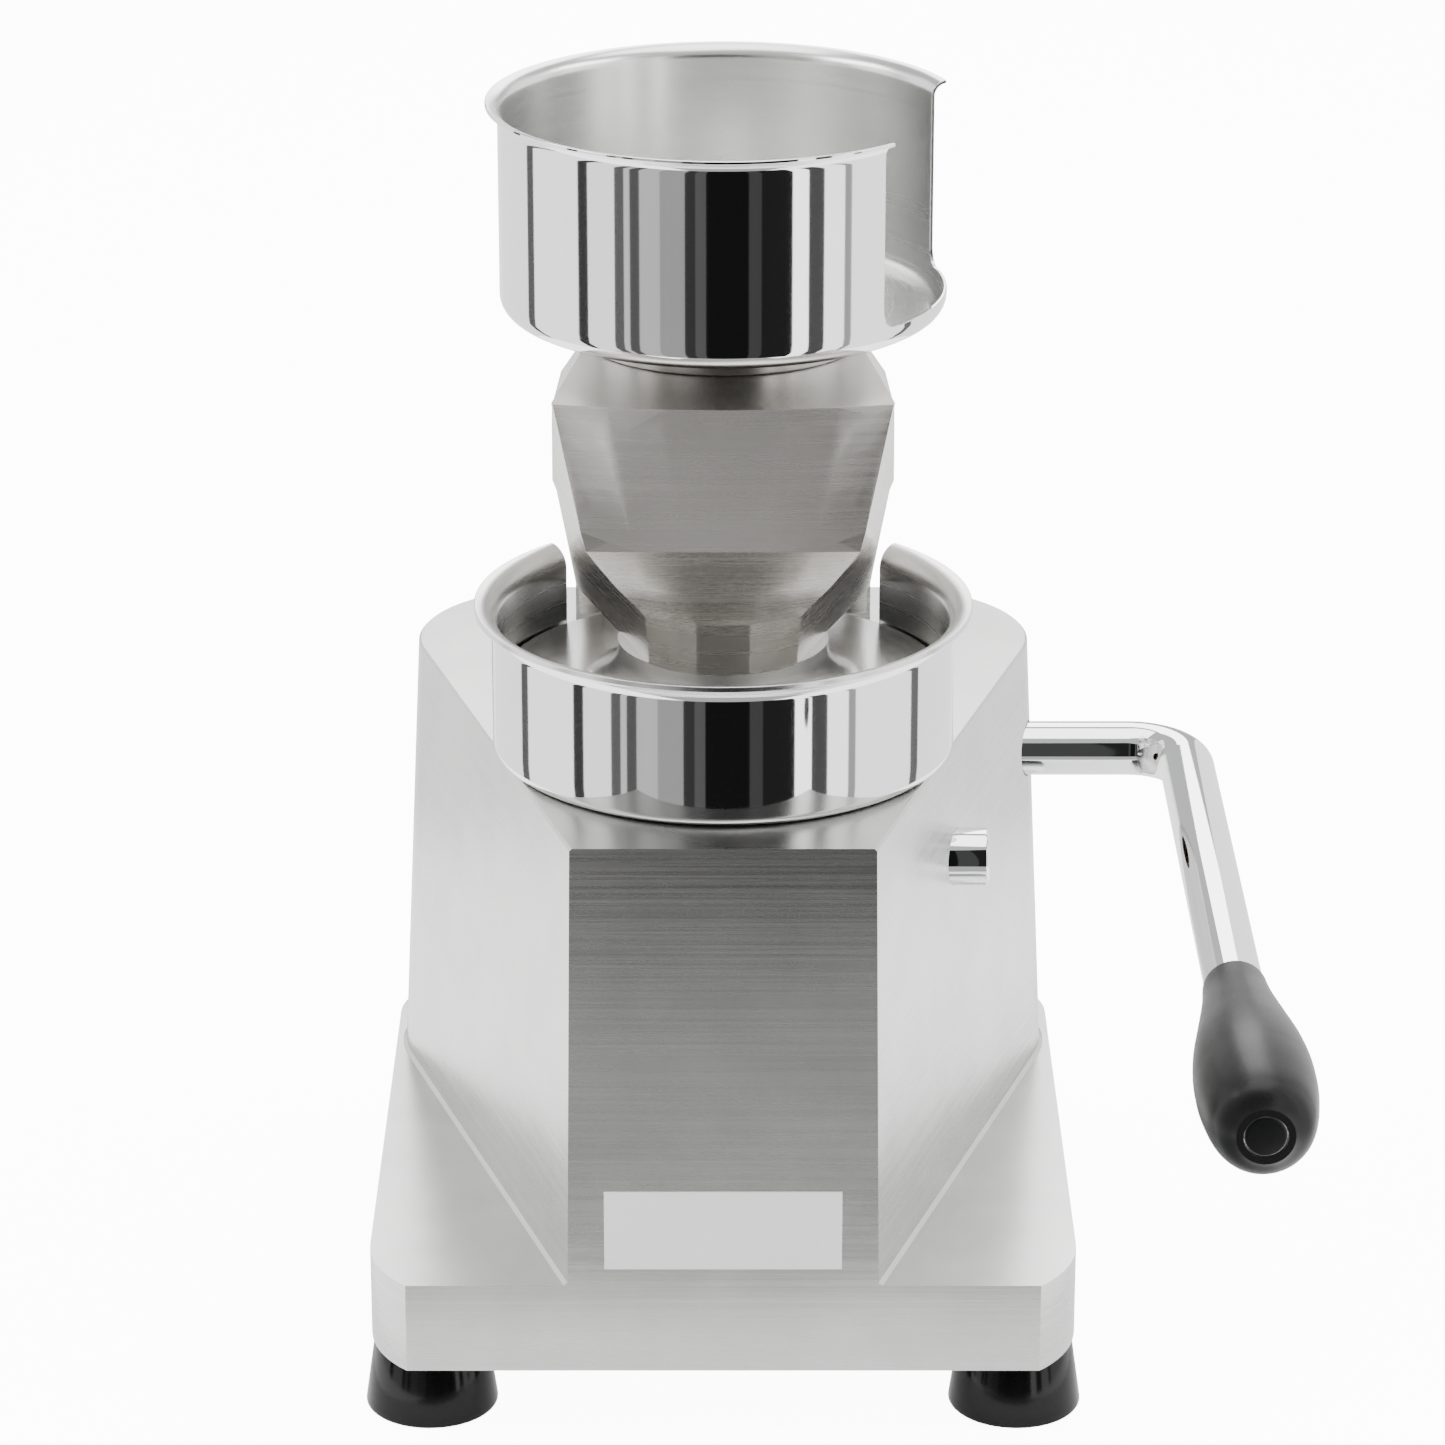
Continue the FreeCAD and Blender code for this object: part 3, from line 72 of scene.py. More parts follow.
@dataclass(frozen=True)
class Finish:
    """One surface finish, made into a node material."""

    name: str
    colour: tuple[float, float, float]
    metallic: float
    roughness: float
    grain: Grain = Grain.EVEN
    fineness: float = 700.0
    rough_spread: float = 0.06
    tone_spread: float = 0.08
    bump: float = 0.02
    coat: float = 0.0

    def stretch(self) -> tuple[float, float, float]:
        """Scale of the grain's noise along X, Y and Z."""
        fine = self.fineness
        return {Grain.ACROSS: (fine / 90, fine / 90, fine), Grain.UPRIGHT: (fine, fine, fine / 90),
                Grain.TURNED: (fine, fine, fine), Grain.EVEN: (fine, fine, fine)}[self.grain]

    def make(self) -> bpy.types.Material:
        """Build the material's nodes.

        Returns:
            The finished material.
        """
        material = bpy.data.materials.new(self.name)
        material.use_nodes = True
        nodes = material.node_tree.nodes
        link = material.node_tree.links.new
        shader = nodes["Principled BSDF"]
        shader.inputs["Metallic"].default_value = self.metallic
        shader.inputs["Specular IOR Level"].default_value = 0.5 if self.metallic else 0.22
        shader.inputs["Coat Weight"].default_value = self.coat
        shader.inputs["Coat Roughness"].default_value = 0.04
        place = nodes.new("ShaderNodeTexCoord")
        mapping = nodes.new("ShaderNodeMapping")
        mapping.inputs["Location"].default_value = (-PRESS.axis.x, -PRESS.axis.y, 0)
        link(place.outputs["Object"], mapping.inputs["Vector"])
        vector = mapping.outputs["Vector"]
        if self.grain is Grain.TURNED:
            vector = self.rings(nodes, link, vector)
        spread = nodes.new("ShaderNodeVectorMath")
        spread.operation = "MULTIPLY"
        spread.inputs[1].default_value = self.stretch()
        link(vector, spread.inputs[0])
        fine = nodes.new("ShaderNodeTexNoise")
        fine.inputs["Scale"].default_value = 1.0
        fine.inputs["Detail"].default_value = 4.0
        link(spread.outputs[0], fine.inputs["Vector"])
        broad = nodes.new("ShaderNodeTexNoise")
        broad.inputs["Scale"].default_value = 38.0
        broad.inputs["Detail"].default_value = 3.0
        link(place.outputs["Object"], broad.inputs["Vector"])
        rough = nodes.new("ShaderNodeMapRange")
        rough.inputs["To Min"].default_value = max(self.roughness - self.rough_spread, 0.01)
        rough.inputs["To Max"].default_value = self.roughness + self.rough_spread
        link(fine.outputs["Fac"], rough.inputs["Value"])
        link(rough.outputs["Result"], shader.inputs["Roughness"])
        tone = nodes.new("ShaderNodeMath")
        tone.operation = "ADD"
        link(fine.outputs["Fac"], tone.inputs[0])
        link(broad.outputs["Fac"], tone.inputs[1])
        ramp = nodes.new("ShaderNodeMapRange")
        ramp.inputs["From Min"].default_value = 0.6
        ramp.inputs["From Max"].default_value = 1.4
        link(tone.outputs[0], ramp.inputs["Value"])
        mix = nodes.new("ShaderNodeMix")
        mix.data_type = "RGBA"
        mix.inputs[6].default_value = (*[c * (1 - self.tone_spread) for c in self.colour], 1)
        mix.inputs[7].default_value = (*[min(c * (1 + self.tone_spread), 1) for c in self.colour], 1)
        link(ramp.outputs["Result"], mix.inputs["Factor"])
        link(mix.outputs[2], shader.inputs["Base Color"])
        bump = nodes.new("ShaderNodeBump")
        bump.inputs["Strength"].default_value = self.bump
        bump.inputs["Distance"].default_value = 0.0004
        link(fine.outputs["Fac"], bump.inputs["Height"])
        link(bump.outputs["Normal"], shader.inputs["Normal"])
        return material

    @staticmethod
    def rings(nodes: bpy.types.Nodes, link: Callable, vector: bpy.types.NodeSocket) -> bpy.types.NodeSocket:
        """Turn a position into one that changes with the distance from the bowl's axis and the height.

        Args:
            nodes: The material's nodes.
            link: The function that joins two sockets.
            vector: The position, already centred on the axis.

        Returns:
            The socket with the new position.
        """
        parts = nodes.new("ShaderNodeSeparateXYZ")
        flat = nodes.new("ShaderNodeCombineXYZ")
        length = nodes.new("ShaderNodeVectorMath")
        length.operation = "LENGTH"
        turned = nodes.new("ShaderNodeCombineXYZ")
        link(vector, parts.inputs[0])
        link(parts.outputs["X"], flat.inputs["X"])
        link(parts.outputs["Y"], flat.inputs["Y"])
        link(flat.outputs[0], length.inputs[0])
        link(length.outputs["Value"], turned.inputs["X"])
        link(parts.outputs["Z"], turned.inputs["Z"])
        return turned.outputs[0]


@dataclass(frozen=True)
class PressPlan:
    """Places that the pieces share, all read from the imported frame."""

    axis: Vector
    rim: float
    cup_low: float
    cup_high: float
    shaft: Vector

    @staticmethod
    def read() -> "PressPlan":
        """Read the places from the boxes of the CAD nodes."""
        disc_low, disc_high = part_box("press_disc")
        collar_low, collar_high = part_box("shaft_collar")
        cup_low, cup_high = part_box("paper_cup")
        return PressPlan((disc_low + disc_high) / 2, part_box("mould_bowl")[1].z, cup_low.z, cup_high.z,
                         (collar_low + collar_high) / 2)


PRESS = PressPlan.read()

FINISHES = {
    "cast_aluminium": Finish("ground_casting", (0.54, 0.54, 0.53), 1.0, 0.27,
                             Grain.ACROSS, 620, 0.07, 0.11, 0.06),
    "head_casting": Finish("warm_ground_casting", (0.54, 0.52, 0.49), 1.0, 0.27,
                           Grain.ACROSS, 620, 0.06, 0.06, 0.035),
    "polished_steel": Finish("polished_sheet", (0.80, 0.80, 0.80), 1.0, 0.05,
                             Grain.UPRIGHT, 500, 0.02, 0.03, 0.006),
    "satin_steel": Finish("satin_sheet", (0.72, 0.72, 0.71), 1.0, 0.26, Grain.TURNED, 900, 0.05, 0.06, 0.03),
    "turned_aluminium": Finish("turned_face", (0.74, 0.74, 0.73), 1.0, 0.24,
                               Grain.TURNED, 1100, 0.06, 0.07, 0.05),
    "chromed_bar": Finish("chromium_plate", (0.84, 0.85, 0.86), 1.0, 0.035,
                          Grain.EVEN, 300, 0.012, 0.02, 0.003),
    "black_grip": Finish("moulded_grip", (0.006, 0.006, 0.0065), 0.0, 0.34,
                         Grain.EVEN, 1500, 0.06, 0.2, 0.06),
    "black_foot": Finish("glossy_foot", (0.004, 0.004, 0.0045), 0.0, 0.12, Grain.EVEN, 900, 0.03, 0.2, 0.01),
    "bronze_bush": Finish("sintered_bronze", (0.50, 0.33, 0.17), 1.0, 0.38,
                          Grain.EVEN, 1800, 0.08, 0.15, 0.10),
    "linkage_steel": Finish("ground_steel", (0.46, 0.46, 0.48), 1.0, 0.32,
                            Grain.ACROSS, 800, 0.07, 0.08, 0.06),
    "plated_screw": Finish("zinc_plate", (0.64, 0.65, 0.66), 1.0, 0.24, Grain.EVEN, 1200, 0.06, 0.06, 0.03),
    "blank_label": Finish("blank_white_plate", (0.86, 0.86, 0.86), 0.0, 0.40,
                          Grain.EVEN, 900, 0.04, 0.02, 0.01),
    "cover_sheet": Finish("rolled_sheet", (0.50, 0.50, 0.51), 1.0, 0.36,
                          Grain.UPRIGHT, 500, 0.07, 0.08, 0.05),
}
MADE = {slot: finish.make() for slot, finish in FINISHES.items()}


# ---------------------------------------------------------------- mesh tools
def settle(name: str, bm: bmesh.types.BMesh, sharp: float = 32.0) -> bpy.types.Object:
    """Make an object at the origin from a finished mesh.

    Args:
        name: The piece's name.
        bm: The mesh, in the frame's own place; it is freed.
        sharp: The angle in degrees past which an edge stays crisp.

    Returns:
        The new object, linked to the scene.
    """
    bmesh.ops.remove_doubles(bm, verts=bm.verts, dist=1e-6)
    bmesh.ops.recalc_face_normals(bm, faces=bm.faces)
    for face in bm.faces:
        face.smooth = True
    mesh = bpy.data.meshes.new(name)
    bm.to_mesh(mesh)
    bm.free()
    mesh.set_sharp_from_angle(angle=math.radians(sharp))
    piece = bpy.data.objects.new(name, mesh)
    bpy.context.scene.collection.objects.link(piece)
    return piece


def arc(centre: tuple[float, float], radius: float, start: float, end: float, steps: int = 8) -> Outline:
    """Points along an arc, from one angle in radians to another."""
    return [(centre[0] + radius * math.cos(start + (end - start) * i / steps),
             centre[1] + radius * math.sin(start + (end - start) * i / steps)) for i in range(steps + 1)]


def soften(points: Outline, size: float, steps: int = 4) -> Outline:
    """Round each corner of an open outline that is off the axis.

    Args:
        points: Radius and height pairs.
        size: How far back from its corner a rounding starts.
        steps: Faces across each rounding.

    Returns:
        The longer outline.
    """
    spots = [Vector(p) for p in points]
    out = [points[0]]
    for before, corner, after in zip(spots, spots[1:], spots[2:]):
        back = before - corner
        ahead = after - corner
        turn = math.pi - back.angle(ahead)
        cut = min(size, back.length * 0.45, ahead.length * 0.45)
        if turn < math.radians(25) or corner.x < 1e-6:
            out.append(tuple(corner))
            continue
        start = corner + back.normalized() * cut
        end = corner + ahead.normalized() * cut
        for i in range(steps + 1):
            along = i / steps
            spot = start.lerp(corner, along).lerp(corner.lerp(end, along), along)
            out.append(tuple(spot))
    return out + [points[-1]]


def lathe(name: str, outline: Outline, seat: Matrix, segments: int = 144) -> bpy.types.Object:
    """Turn an open outline, whose ends lie on the axis or meet, into a closed piece.

    Args:
        name: The piece's name.
        outline: Radius and height pairs.
        seat: Where the turning axis lies.
        segments: Faces round the axis.

    Returns:
        The new object.
    """
    bm = bmesh.new()
    rings = []
    for radius, height in outline:
        if radius < 1e-7:
            rings.append([bm.verts.new(seat @ Vector((0, 0, height)))] * segments)
            continue
        rings.append([bm.verts.new(seat @ Vector((radius * math.cos(math.tau * i / segments),
                                                  radius * math.sin(math.tau * i / segments), height)))
                      for i in range(segments)])
    for low, high in zip(rings, rings[1:]):
        for i in range(segments):
            after = (i + 1) % segments
            corners = list(dict.fromkeys([low[i], low[after], high[after], high[i]]))
            if len(corners) > 2:
                bm.faces.new(corners)
    return settle(name, bm)


def upright_at(spot: Vector) -> Matrix:
    """A seat whose axis rises from a point."""
    return Matrix.Translation(spot)


def along_x(spot: Vector) -> Matrix:
    """A seat whose axis runs to +X from a point."""
    return Matrix.Translation(spot) @ Matrix.Rotation(HALF, 4, "Y")


def along_front(spot: Vector) -> Matrix:
    """A seat whose axis runs to -Y from a point."""
    return Matrix.Translation(spot) @ Matrix.Rotation(HALF, 4, "X")


def refined(node: str, bevel: float, crisp: float = 30.0) -> bpy.types.Object:
    """A cleaned copy of a CAD node's mesh with its sharp edges broken.

    Args:
        node: The CAD node to copy.
        bevel: Width of the broken edge.
        crisp: The angle in degrees past which an edge is broken.

    Returns:
        The new object.
    """
    bm = bmesh.new()
    bm.from_mesh(frame["nodes"][node].data)
    bmesh.ops.remove_doubles(bm, verts=bm.verts, dist=2e-6)
    bmesh.ops.dissolve_limit(bm, angle_limit=math.radians(0.6), verts=bm.verts, edges=bm.edges)
    for face in bm.faces:
        face.smooth = True
    mesh = bpy.data.meshes.new(node + "_fine")
    bm.to_mesh(mesh)
    bm.free()
    mesh.set_sharp_from_angle(angle=math.radians(crisp))
    piece = bpy.data.objects.new(node + "_fine", mesh)
    bpy.context.scene.collection.objects.link(piece)
    soften_edges(piece, bevel, crisp)
    return piece


def soften_edges(piece: bpy.types.Object, width: float, angle: float = 30.0) -> None:
    """Give a piece small rounded edges and even shading."""
    bevel = piece.modifiers.new("broken_edges", "BEVEL")
    bevel.width = width
    bevel.segments = 2
    bevel.limit_method = "ANGLE"
    bevel.angle_limit = math.radians(angle)
    bevel.harden_normals = True
    even = piece.modifiers.new("even_shading", "WEIGHTED_NORMAL")
    even.keep_sharp = True


@dataclass
class SheetShell:
    """A turned sheet of even thickness with one opening down from its rim."""

    name: str
    outline: Outline
    foot: int
    sill: int
    corner: float
    start: float
    end: float
    thick: float
    inside: bool
    segments: int = 168

    def columns(self) -> tuple[list[float], int]:
        """Angles of the columns round the shell, and how many of them span the opening."""
        radius = self.outline[self.sill][0]
        reach = self.corner / radius
        near = [reach * i / 6 for i in range(7)]
        span = self.end - self.start
        middle = max(int(self.segments * (span - 2 * reach) / math.tau), 4)
        inner = [reach + (span - 2 * reach) * i / middle for i in range(1, middle)]
        opening = near + inner + [span - back for back in reversed(near)]
        rest = max(int(self.segments * (math.tau - span) / math.tau), 8)
        outer = [span + (math.tau - span) * i / rest for i in range(1, rest)]
        return [self.start + a for a in opening + outer], len(opening)

    def height(self, row: int, depth: float) -> float:
        """Height of a row at a column that is 'depth' along the wall from the opening's side."""
        foot = self.outline[self.foot][1]
        sill = self.outline[self.sill][1]
        if not self.foot < row <= self.sill:
            return self.outline[row][1]
        drop = 0.0
        if depth > 0:
            short = max(self.corner - depth, 0.0)
            drop = math.sqrt(max(self.corner ** 2 - short ** 2, 0.0))
        return foot + (self.outline[row][1] - foot) * (sill - drop - foot) / (sill - foot)

    def build(self) -> bpy.types.Object:
        """Make the shell.

        Returns:
            The new object, with its thickness and edges as modifiers.
        """
        bm = bmesh.new()
        angles, opening = self.columns()
        radius = self.outline[self.sill][0]
        grid = []
        for row, (reach, _) in enumerate(self.outline):
            ring = []
            for column, angle in enumerate(angles):
                depth = 0.0
                if column < opening:
                    depth = radius * min(angle - self.start, self.end - angle)
                spot = PRESS.axis.xy + Vector((math.cos(angle), math.sin(angle))) * reach
                ring.append(bm.verts.new((spot.x, spot.y, self.height(row, depth))))
            grid.append(ring)
        count = len(angles)
        for row in range(len(grid) - 1):
            for column in range(count):
                if row >= self.sill and column < opening - 1:
                    continue
                after = (column + 1) % count
                corners = [grid[row][column], grid[row][after], grid[row + 1][after], grid[row + 1][column]]
                bm.faces.new(corners if not self.inside else corners[::-1])
        bmesh.ops.remove_doubles(bm, verts=bm.verts, dist=1e-6)
        loose = [v for v in bm.verts if not v.link_faces]
        bmesh.ops.delete(bm, geom=loose, context="VERTS")
        for face in bm.faces:
            face.smooth = True
        mesh = bpy.data.meshes.new(self.name)
        bm.to_mesh(mesh)
        bm.free()
        piece = bpy.data.objects.new(self.name, mesh)
        bpy.context.scene.collection.objects.link(piece)
        wall = piece.modifiers.new("sheet", "SOLIDIFY")
        wall.thickness = self.thick
        wall.offset = -1.0
        wall.use_even_offset = True
        wall.material_offset = 1
        soften_edges(piece, 0.0003, 50.0)
        return piece


# ---------------------------------------------------------------- geometry node tools
class Pattern:
    """A geometry node tree with named sizes, run once to make a plain mesh."""

    def __init__(self, name: str, sizes: dict[str, str]) -> None:
        """Start a tree.

        Args:
            name: The tree's name.
            sizes: Name and socket type of each input.
        """
        self.tree = bpy.data.node_groups.new(name, "GeometryNodeTree")
        self.keys = {}
        for label, kind in sizes.items():
            socket = self.tree.interface.new_socket(label, in_out="INPUT", socket_type=kind)
            self.keys[label] = socket.identifier
        self.tree.interface.new_socket("Geometry", in_out="OUTPUT", socket_type="NodeSocketGeometry")
        self.start = self.tree.nodes.new("NodeGroupInput")

    def node(self, kind: str, **feeds: object) -> bpy.types.Node:
        """Add a node; each feed is a socket, or a plain value, for the input of that name."""
        made = self.tree.nodes.new("GeometryNode" + kind)
        for label, feed in feeds.items():
            target = made.inputs[label.replace("_", " ")]
            if isinstance(feed, bpy.types.NodeSocket):
                self.tree.links.new(feed, target)
            else:
                target.default_value = feed
        return made

    def size(self, label: str) -> bpy.types.NodeSocket:
        """The socket that brings in one named size."""
        return self.start.outputs[label]

    def finish(self, solid: bpy.types.NodeSocket) -> None:
        """Close the tree: real geometry, its material, and the output."""
        real = self.node("RealizeInstances", Geometry=solid)
        dressed = self.node("SetMaterial", Geometry=real.outputs[0], Material=self.size("Finish"))
        end = self.tree.nodes.new("NodeGroupOutput")
        self.tree.links.new(dressed.outputs[0], end.inputs[0])

    def run(self, name: str, values: dict[str, object]) -> bpy.types.Object:
        """Run the tree once.

        Args:
            name: The piece's name.
            values: A value for each named size.

        Returns:
            A plain mesh object at the origin.
        """
        host = bpy.data.objects.new(name + "_host", bpy.data.meshes.new(name + "_host"))
        bpy.context.scene.collection.objects.link(host)
        modifier = host.modifiers.new("pattern", "NODES")
        modifier.node_group = self.tree
        for label, value in values.items():
            modifier[self.keys[label]] = value
        bpy.context.view_layer.update()
        graph = bpy.context.evaluated_depsgraph_get()
        mesh = bpy.data.meshes.new_from_object(host.evaluated_get(graph))
        bpy.data.objects.remove(host)
        mesh.name = name
        piece = bpy.data.objects.new(name, mesh)
        bpy.context.scene.collection.objects.link(piece)
        return piece


def ring_pattern() -> Pattern:
    """A tree that sets copies of one fastener evenly round a circle."""
    pattern = Pattern("fasteners_on_circle", {
        "Fastener": "NodeSocketObject", "Count": "NodeSocketInt", "Circle": "NodeSocketFloat",
        "Centre": "NodeSocketVector", "Turn": "NodeSocketVector", "Finish": "NodeSocketMaterial"})
    circle = pattern.node("MeshCircle", Vertices=pattern.size("Count"), Radius=pattern.size("Circle"))
    placed = pattern.node("Transform", Geometry=circle.outputs[0], Translation=pattern.size("Centre"),
                          Rotation=pattern.size("Turn"))
    shape = pattern.node("ObjectInfo", Object=pattern.size("Fastener"))
    copies = pattern.node("InstanceOnPoints", Points=placed.outputs[0], Instance=shape.outputs["Geometry"])
    pattern.finish(copies.outputs[0])
    return pattern


def corner_pattern() -> Pattern:
    """A tree that sets copies of one fastener at the corners of a rectangle."""
    pattern = Pattern("fasteners_at_corners", {
        "Fastener": "NodeSocketObject", "Width": "NodeSocketFloat", "Depth": "NodeSocketFloat",
        "Centre": "NodeSocketVector", "Finish": "NodeSocketMaterial"})
    grid = pattern.node("MeshGrid", Size_X=pattern.size("Width"), Size_Y=pattern.size("Depth"),
                        Vertices_X=2, Vertices_Y=2)
    placed = pattern.node("Transform", Geometry=grid.outputs[0], Translation=pattern.size("Centre"))
    shape = pattern.node("ObjectInfo", Object=pattern.size("Fastener"))
    copies = pattern.node("InstanceOnPoints", Points=placed.outputs[0], Instance=shape.outputs["Geometry"])
    pattern.finish(copies.outputs[0])
    return pattern


def coil_pattern() -> Pattern:
    """A tree that winds a wire into a coil along X."""
    pattern = Pattern("coiled_wire", {
        "Turns": "NodeSocketFloat", "Coil": "NodeSocketFloat", "Length": "NodeSocketFloat",
        "Wire": "NodeSocketFloat", "Start": "NodeSocketVector", "Finish": "NodeSocketMaterial"})
    spiral = pattern.node("CurveSpiral", Resolution=40, Rotations=pattern.size("Turns"),
                          Start_Radius=pattern.size("Coil"), End_Radius=pattern.size("Coil"),
                          Height=pattern.size("Length"))
    ring = pattern.node("CurvePrimitiveCircle", Resolution=14, Radius=pattern.size("Wire"))
    wire = pattern.node("CurveToMesh", Curve=spiral.outputs[0], Profile_Curve=ring.outputs[0], Fill_Caps=True)
    laid = pattern.node("Transform", Geometry=wire.outputs[0], Translation=pattern.size("Start"),
                        Rotation=(0.0, HALF, 0.0))
    pattern.finish(laid.outputs[0])
    return pattern


# ---------------------------------------------------------------- dressing
def dress(piece: bpy.types.Object, body: str, slot: str, *nodes: str, looks: Sequence[str] = ()) -> None:
    """Give a piece its finish and its place in the press.

    Args:
        piece: The finished piece.
        body: The body that it moves with.
        slot: The record's material slot.
        nodes: The CAD nodes that it stands for.
        looks: Finishes to use, when they aren't the slot's own one.
    """
    piece.data.materials.clear()
    for look in looks or (slot,):
        piece.data.materials.append(MADE[look])
    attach(piece, body)
    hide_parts(*nodes)
    LOG.info("%s rides on %s in %s", piece.name, body, slot)


class Castings:
    """Body casting, head casting and the blank label."""

    edge: float = 0.0006
    head_crease: float = 13.0

    def build(self) -> None:
        """Make and dress the castings and the label."""
        dress(refined("body_casting", self.edge), "root", "cast_aluminium", "body_casting")
        dress(refined("head_casting", self.edge, self.head_crease), "head", "cast_aluminium", "head_casting",
              looks=("head_casting",))
        for side in ("left", "right"):
            bracket = "hinge_bracket_" + side
            dress(refined(bracket, self.edge), "root", "cast_aluminium", bracket)
        dress(refined("label_plate", 0.00015), "root", "blank_label", "label_plate")


@dataclass
class Vessels:
    """Mould bowl and paper cup, both of turned sheet."""

    bowl_inner: float = 0.075
    bowl_thick: float = 0.002
    bowl_bore: float = 0.01205
    notch_half: float = 0.0546
    notch_depth: float = 0.030
    cup_thick: float = 0.0012
    cup_root: float = 0.006
    slot_sill: float = 0.008
    slot_corner: float = 0.005
    slot_start: float = math.radians(-45.4)
    slot_end: float = math.radians(18.4)

    def bowl(self) -> bpy.types.Object:
        """The bowl, drawn along its inside face."""
        low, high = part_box("mould_bowl")
        flare = (high.x - low.x) / 2 - self.bowl_inner
        floor = low.z + self.bowl_thick
        bend = 0.002
        sill = high.z - self.notch_depth
        outline = [(self.bowl_bore, floor), (self.bowl_inner / 2, floor)]
        outline += arc((self.bowl_inner - bend, floor + bend), bend, -HALF, 0, 5)
        foot = len(outline) - 1
        corner = 0.002
        outline += [(self.bowl_inner, floor + bend + (sill + corner - floor - bend) * i / 4)
                    for i in range(1, 5)]
        row = len(outline) - 1
        outline += arc((self.bowl_inner + flare, high.z - flare), flare, math.pi, HALF, 14)
        side = math.acos(self.notch_half / (self.bowl_inner + self.bowl_thick))
        return SheetShell("mould_bowl_sheet", outline, foot, row, corner, side, math.pi - side,
                          self.bowl_thick, True).build()

    def cup(self) -> bpy.types.Object:
        """The paper cup, drawn along its outside face."""
        low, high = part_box("paper_cup")
        reach = (high.x - low.x) / 2 if high.x - PRESS.axis.x < 0 else PRESS.axis.x - low.x
        flare = 0.0052 - self.cup_thick
        outer = reach - flare
        sill = low.z + self.slot_sill + self.slot_corner
        outline = [(0.0, low.z), (outer / 2, low.z)]
        outline += arc((outer - self.cup_root, low.z + self.cup_root), self.cup_root, -HALF, 0, 8)
        foot = len(outline) - 1
        top = high.z - 0.0052
        outline += [(outer, low.z + self.cup_root + (sill - low.z - self.cup_root) * i / 3)
                    for i in range(1, 4)]
        row = len(outline) - 1
        outline += arc((outer + flare, top), flare, math.pi, HALF, 12)
        return SheetShell("paper_cup_sheet", outline, foot, row, self.slot_corner, self.slot_start,
                          self.slot_end, self.cup_thick, False).build()

    def build(self) -> None:
        """Make and dress both vessels."""
        dress(self.bowl(), "root", "polished_steel", "mould_bowl", looks=("satin_steel", "polished_steel"))
        dress(self.cup(), "head", "polished_steel", "paper_cup", looks=("polished_steel", "satin_steel"))


@dataclass
class PressingParts:
    """Disc, spacer, lifting plate and their screws."""

    hub: float = 0.035
    cove: float = 0.011
    thick: float = 0.008
    edge: float = 0.0004
    cup_screw_circle: float = 0.025
    bowl_screw_circle: float = 0.045

    def disc(self) -> bpy.types.Object:
        """The pressing disc with its coved hub."""
        low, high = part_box("press_disc")
        reach = (high.x - low.x) / 2
        top = low.z + self.thick
        outline = soften([(0, low.z), (reach - 0.0015, low.z), (reach, low.z + 0.0015), (reach, top),
                          (self.hub + self.cove, top)], self.edge)
        outline += arc((self.hub + self.cove, top + self.cove), self.cove, -HALF, -math.pi, 10)[1:]
        outline += [(self.hub, high.z), (0, high.z)]
        return lathe("press_disc_turned", outline, upright_at(Vector((PRESS.axis.x, PRESS.axis.y, 0))))

    def flat_round(self, node: str) -> bpy.types.Object:
        """A plain round plate with broken edges, the size of a CAD node."""
        low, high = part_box(node)
        reach = (high.x - low.x) / 2
        outline = soften([(0, low.z), (reach, low.z), (reach, high.z), (0, high.z)], self.edge * 2)
        return lathe(node + "_turned", outline, upright_at(Vector((PRESS.axis.x, PRESS.axis.y, 0))))

    def ring_of_screws(self, pattern: Pattern, node: str, circle: float, head: float) -> bpy.types.Object:
        """Three domed screws round the axis, as long as the CAD ones.

        Args:
            pattern: The tree that places them.
            node: The CAD node that they stand for.
            circle: Radius of the circle that they stand on.
            head: Height of a screw's head.

        Returns:
            The three screws as one piece.
        """
        low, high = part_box(node)
        reach = high.z - low.z
        shank = 0.0025
        wide = shank * 1.9
        outline = soften([(0, 0), (shank, 0), (shank, reach - head), (wide, reach - head), (wide, reach),
                          (shank * 0.8, reach), (shank * 0.8, reach - head * 0.6),
                          (0, reach - head * 0.6)], 0.0003)
        screw = lathe(node + "_one", outline, Matrix.Identity(4), 24)
        ring = pattern.run(node + "_turned", {
            "Fastener": screw, "Count": 3, "Circle": circle, "Centre": (PRESS.axis.x, PRESS.axis.y, low.z),
            "Turn": (0.0, 0.0, math.radians(30)), "Finish": MADE["plated_screw"]})
        bpy.data.objects.remove(screw)
        return ring

    def build(self) -> None:
        """Make and dress the parts."""
        dress(self.disc(), "head", "turned_aluminium", "press_disc")
        dress(self.flat_round("cup_spacer"), "head", "turned_aluminium", "cup_spacer")
        dress(self.flat_round("lift_plate"), "lifter", "turned_aluminium", "lift_plate", "lift_plate_screw")
        pattern = ring_pattern()
        dress(self.ring_of_screws(pattern, "cup_screws", self.cup_screw_circle, 0.0026), "head", "plated_screw",
              "cup_screws")


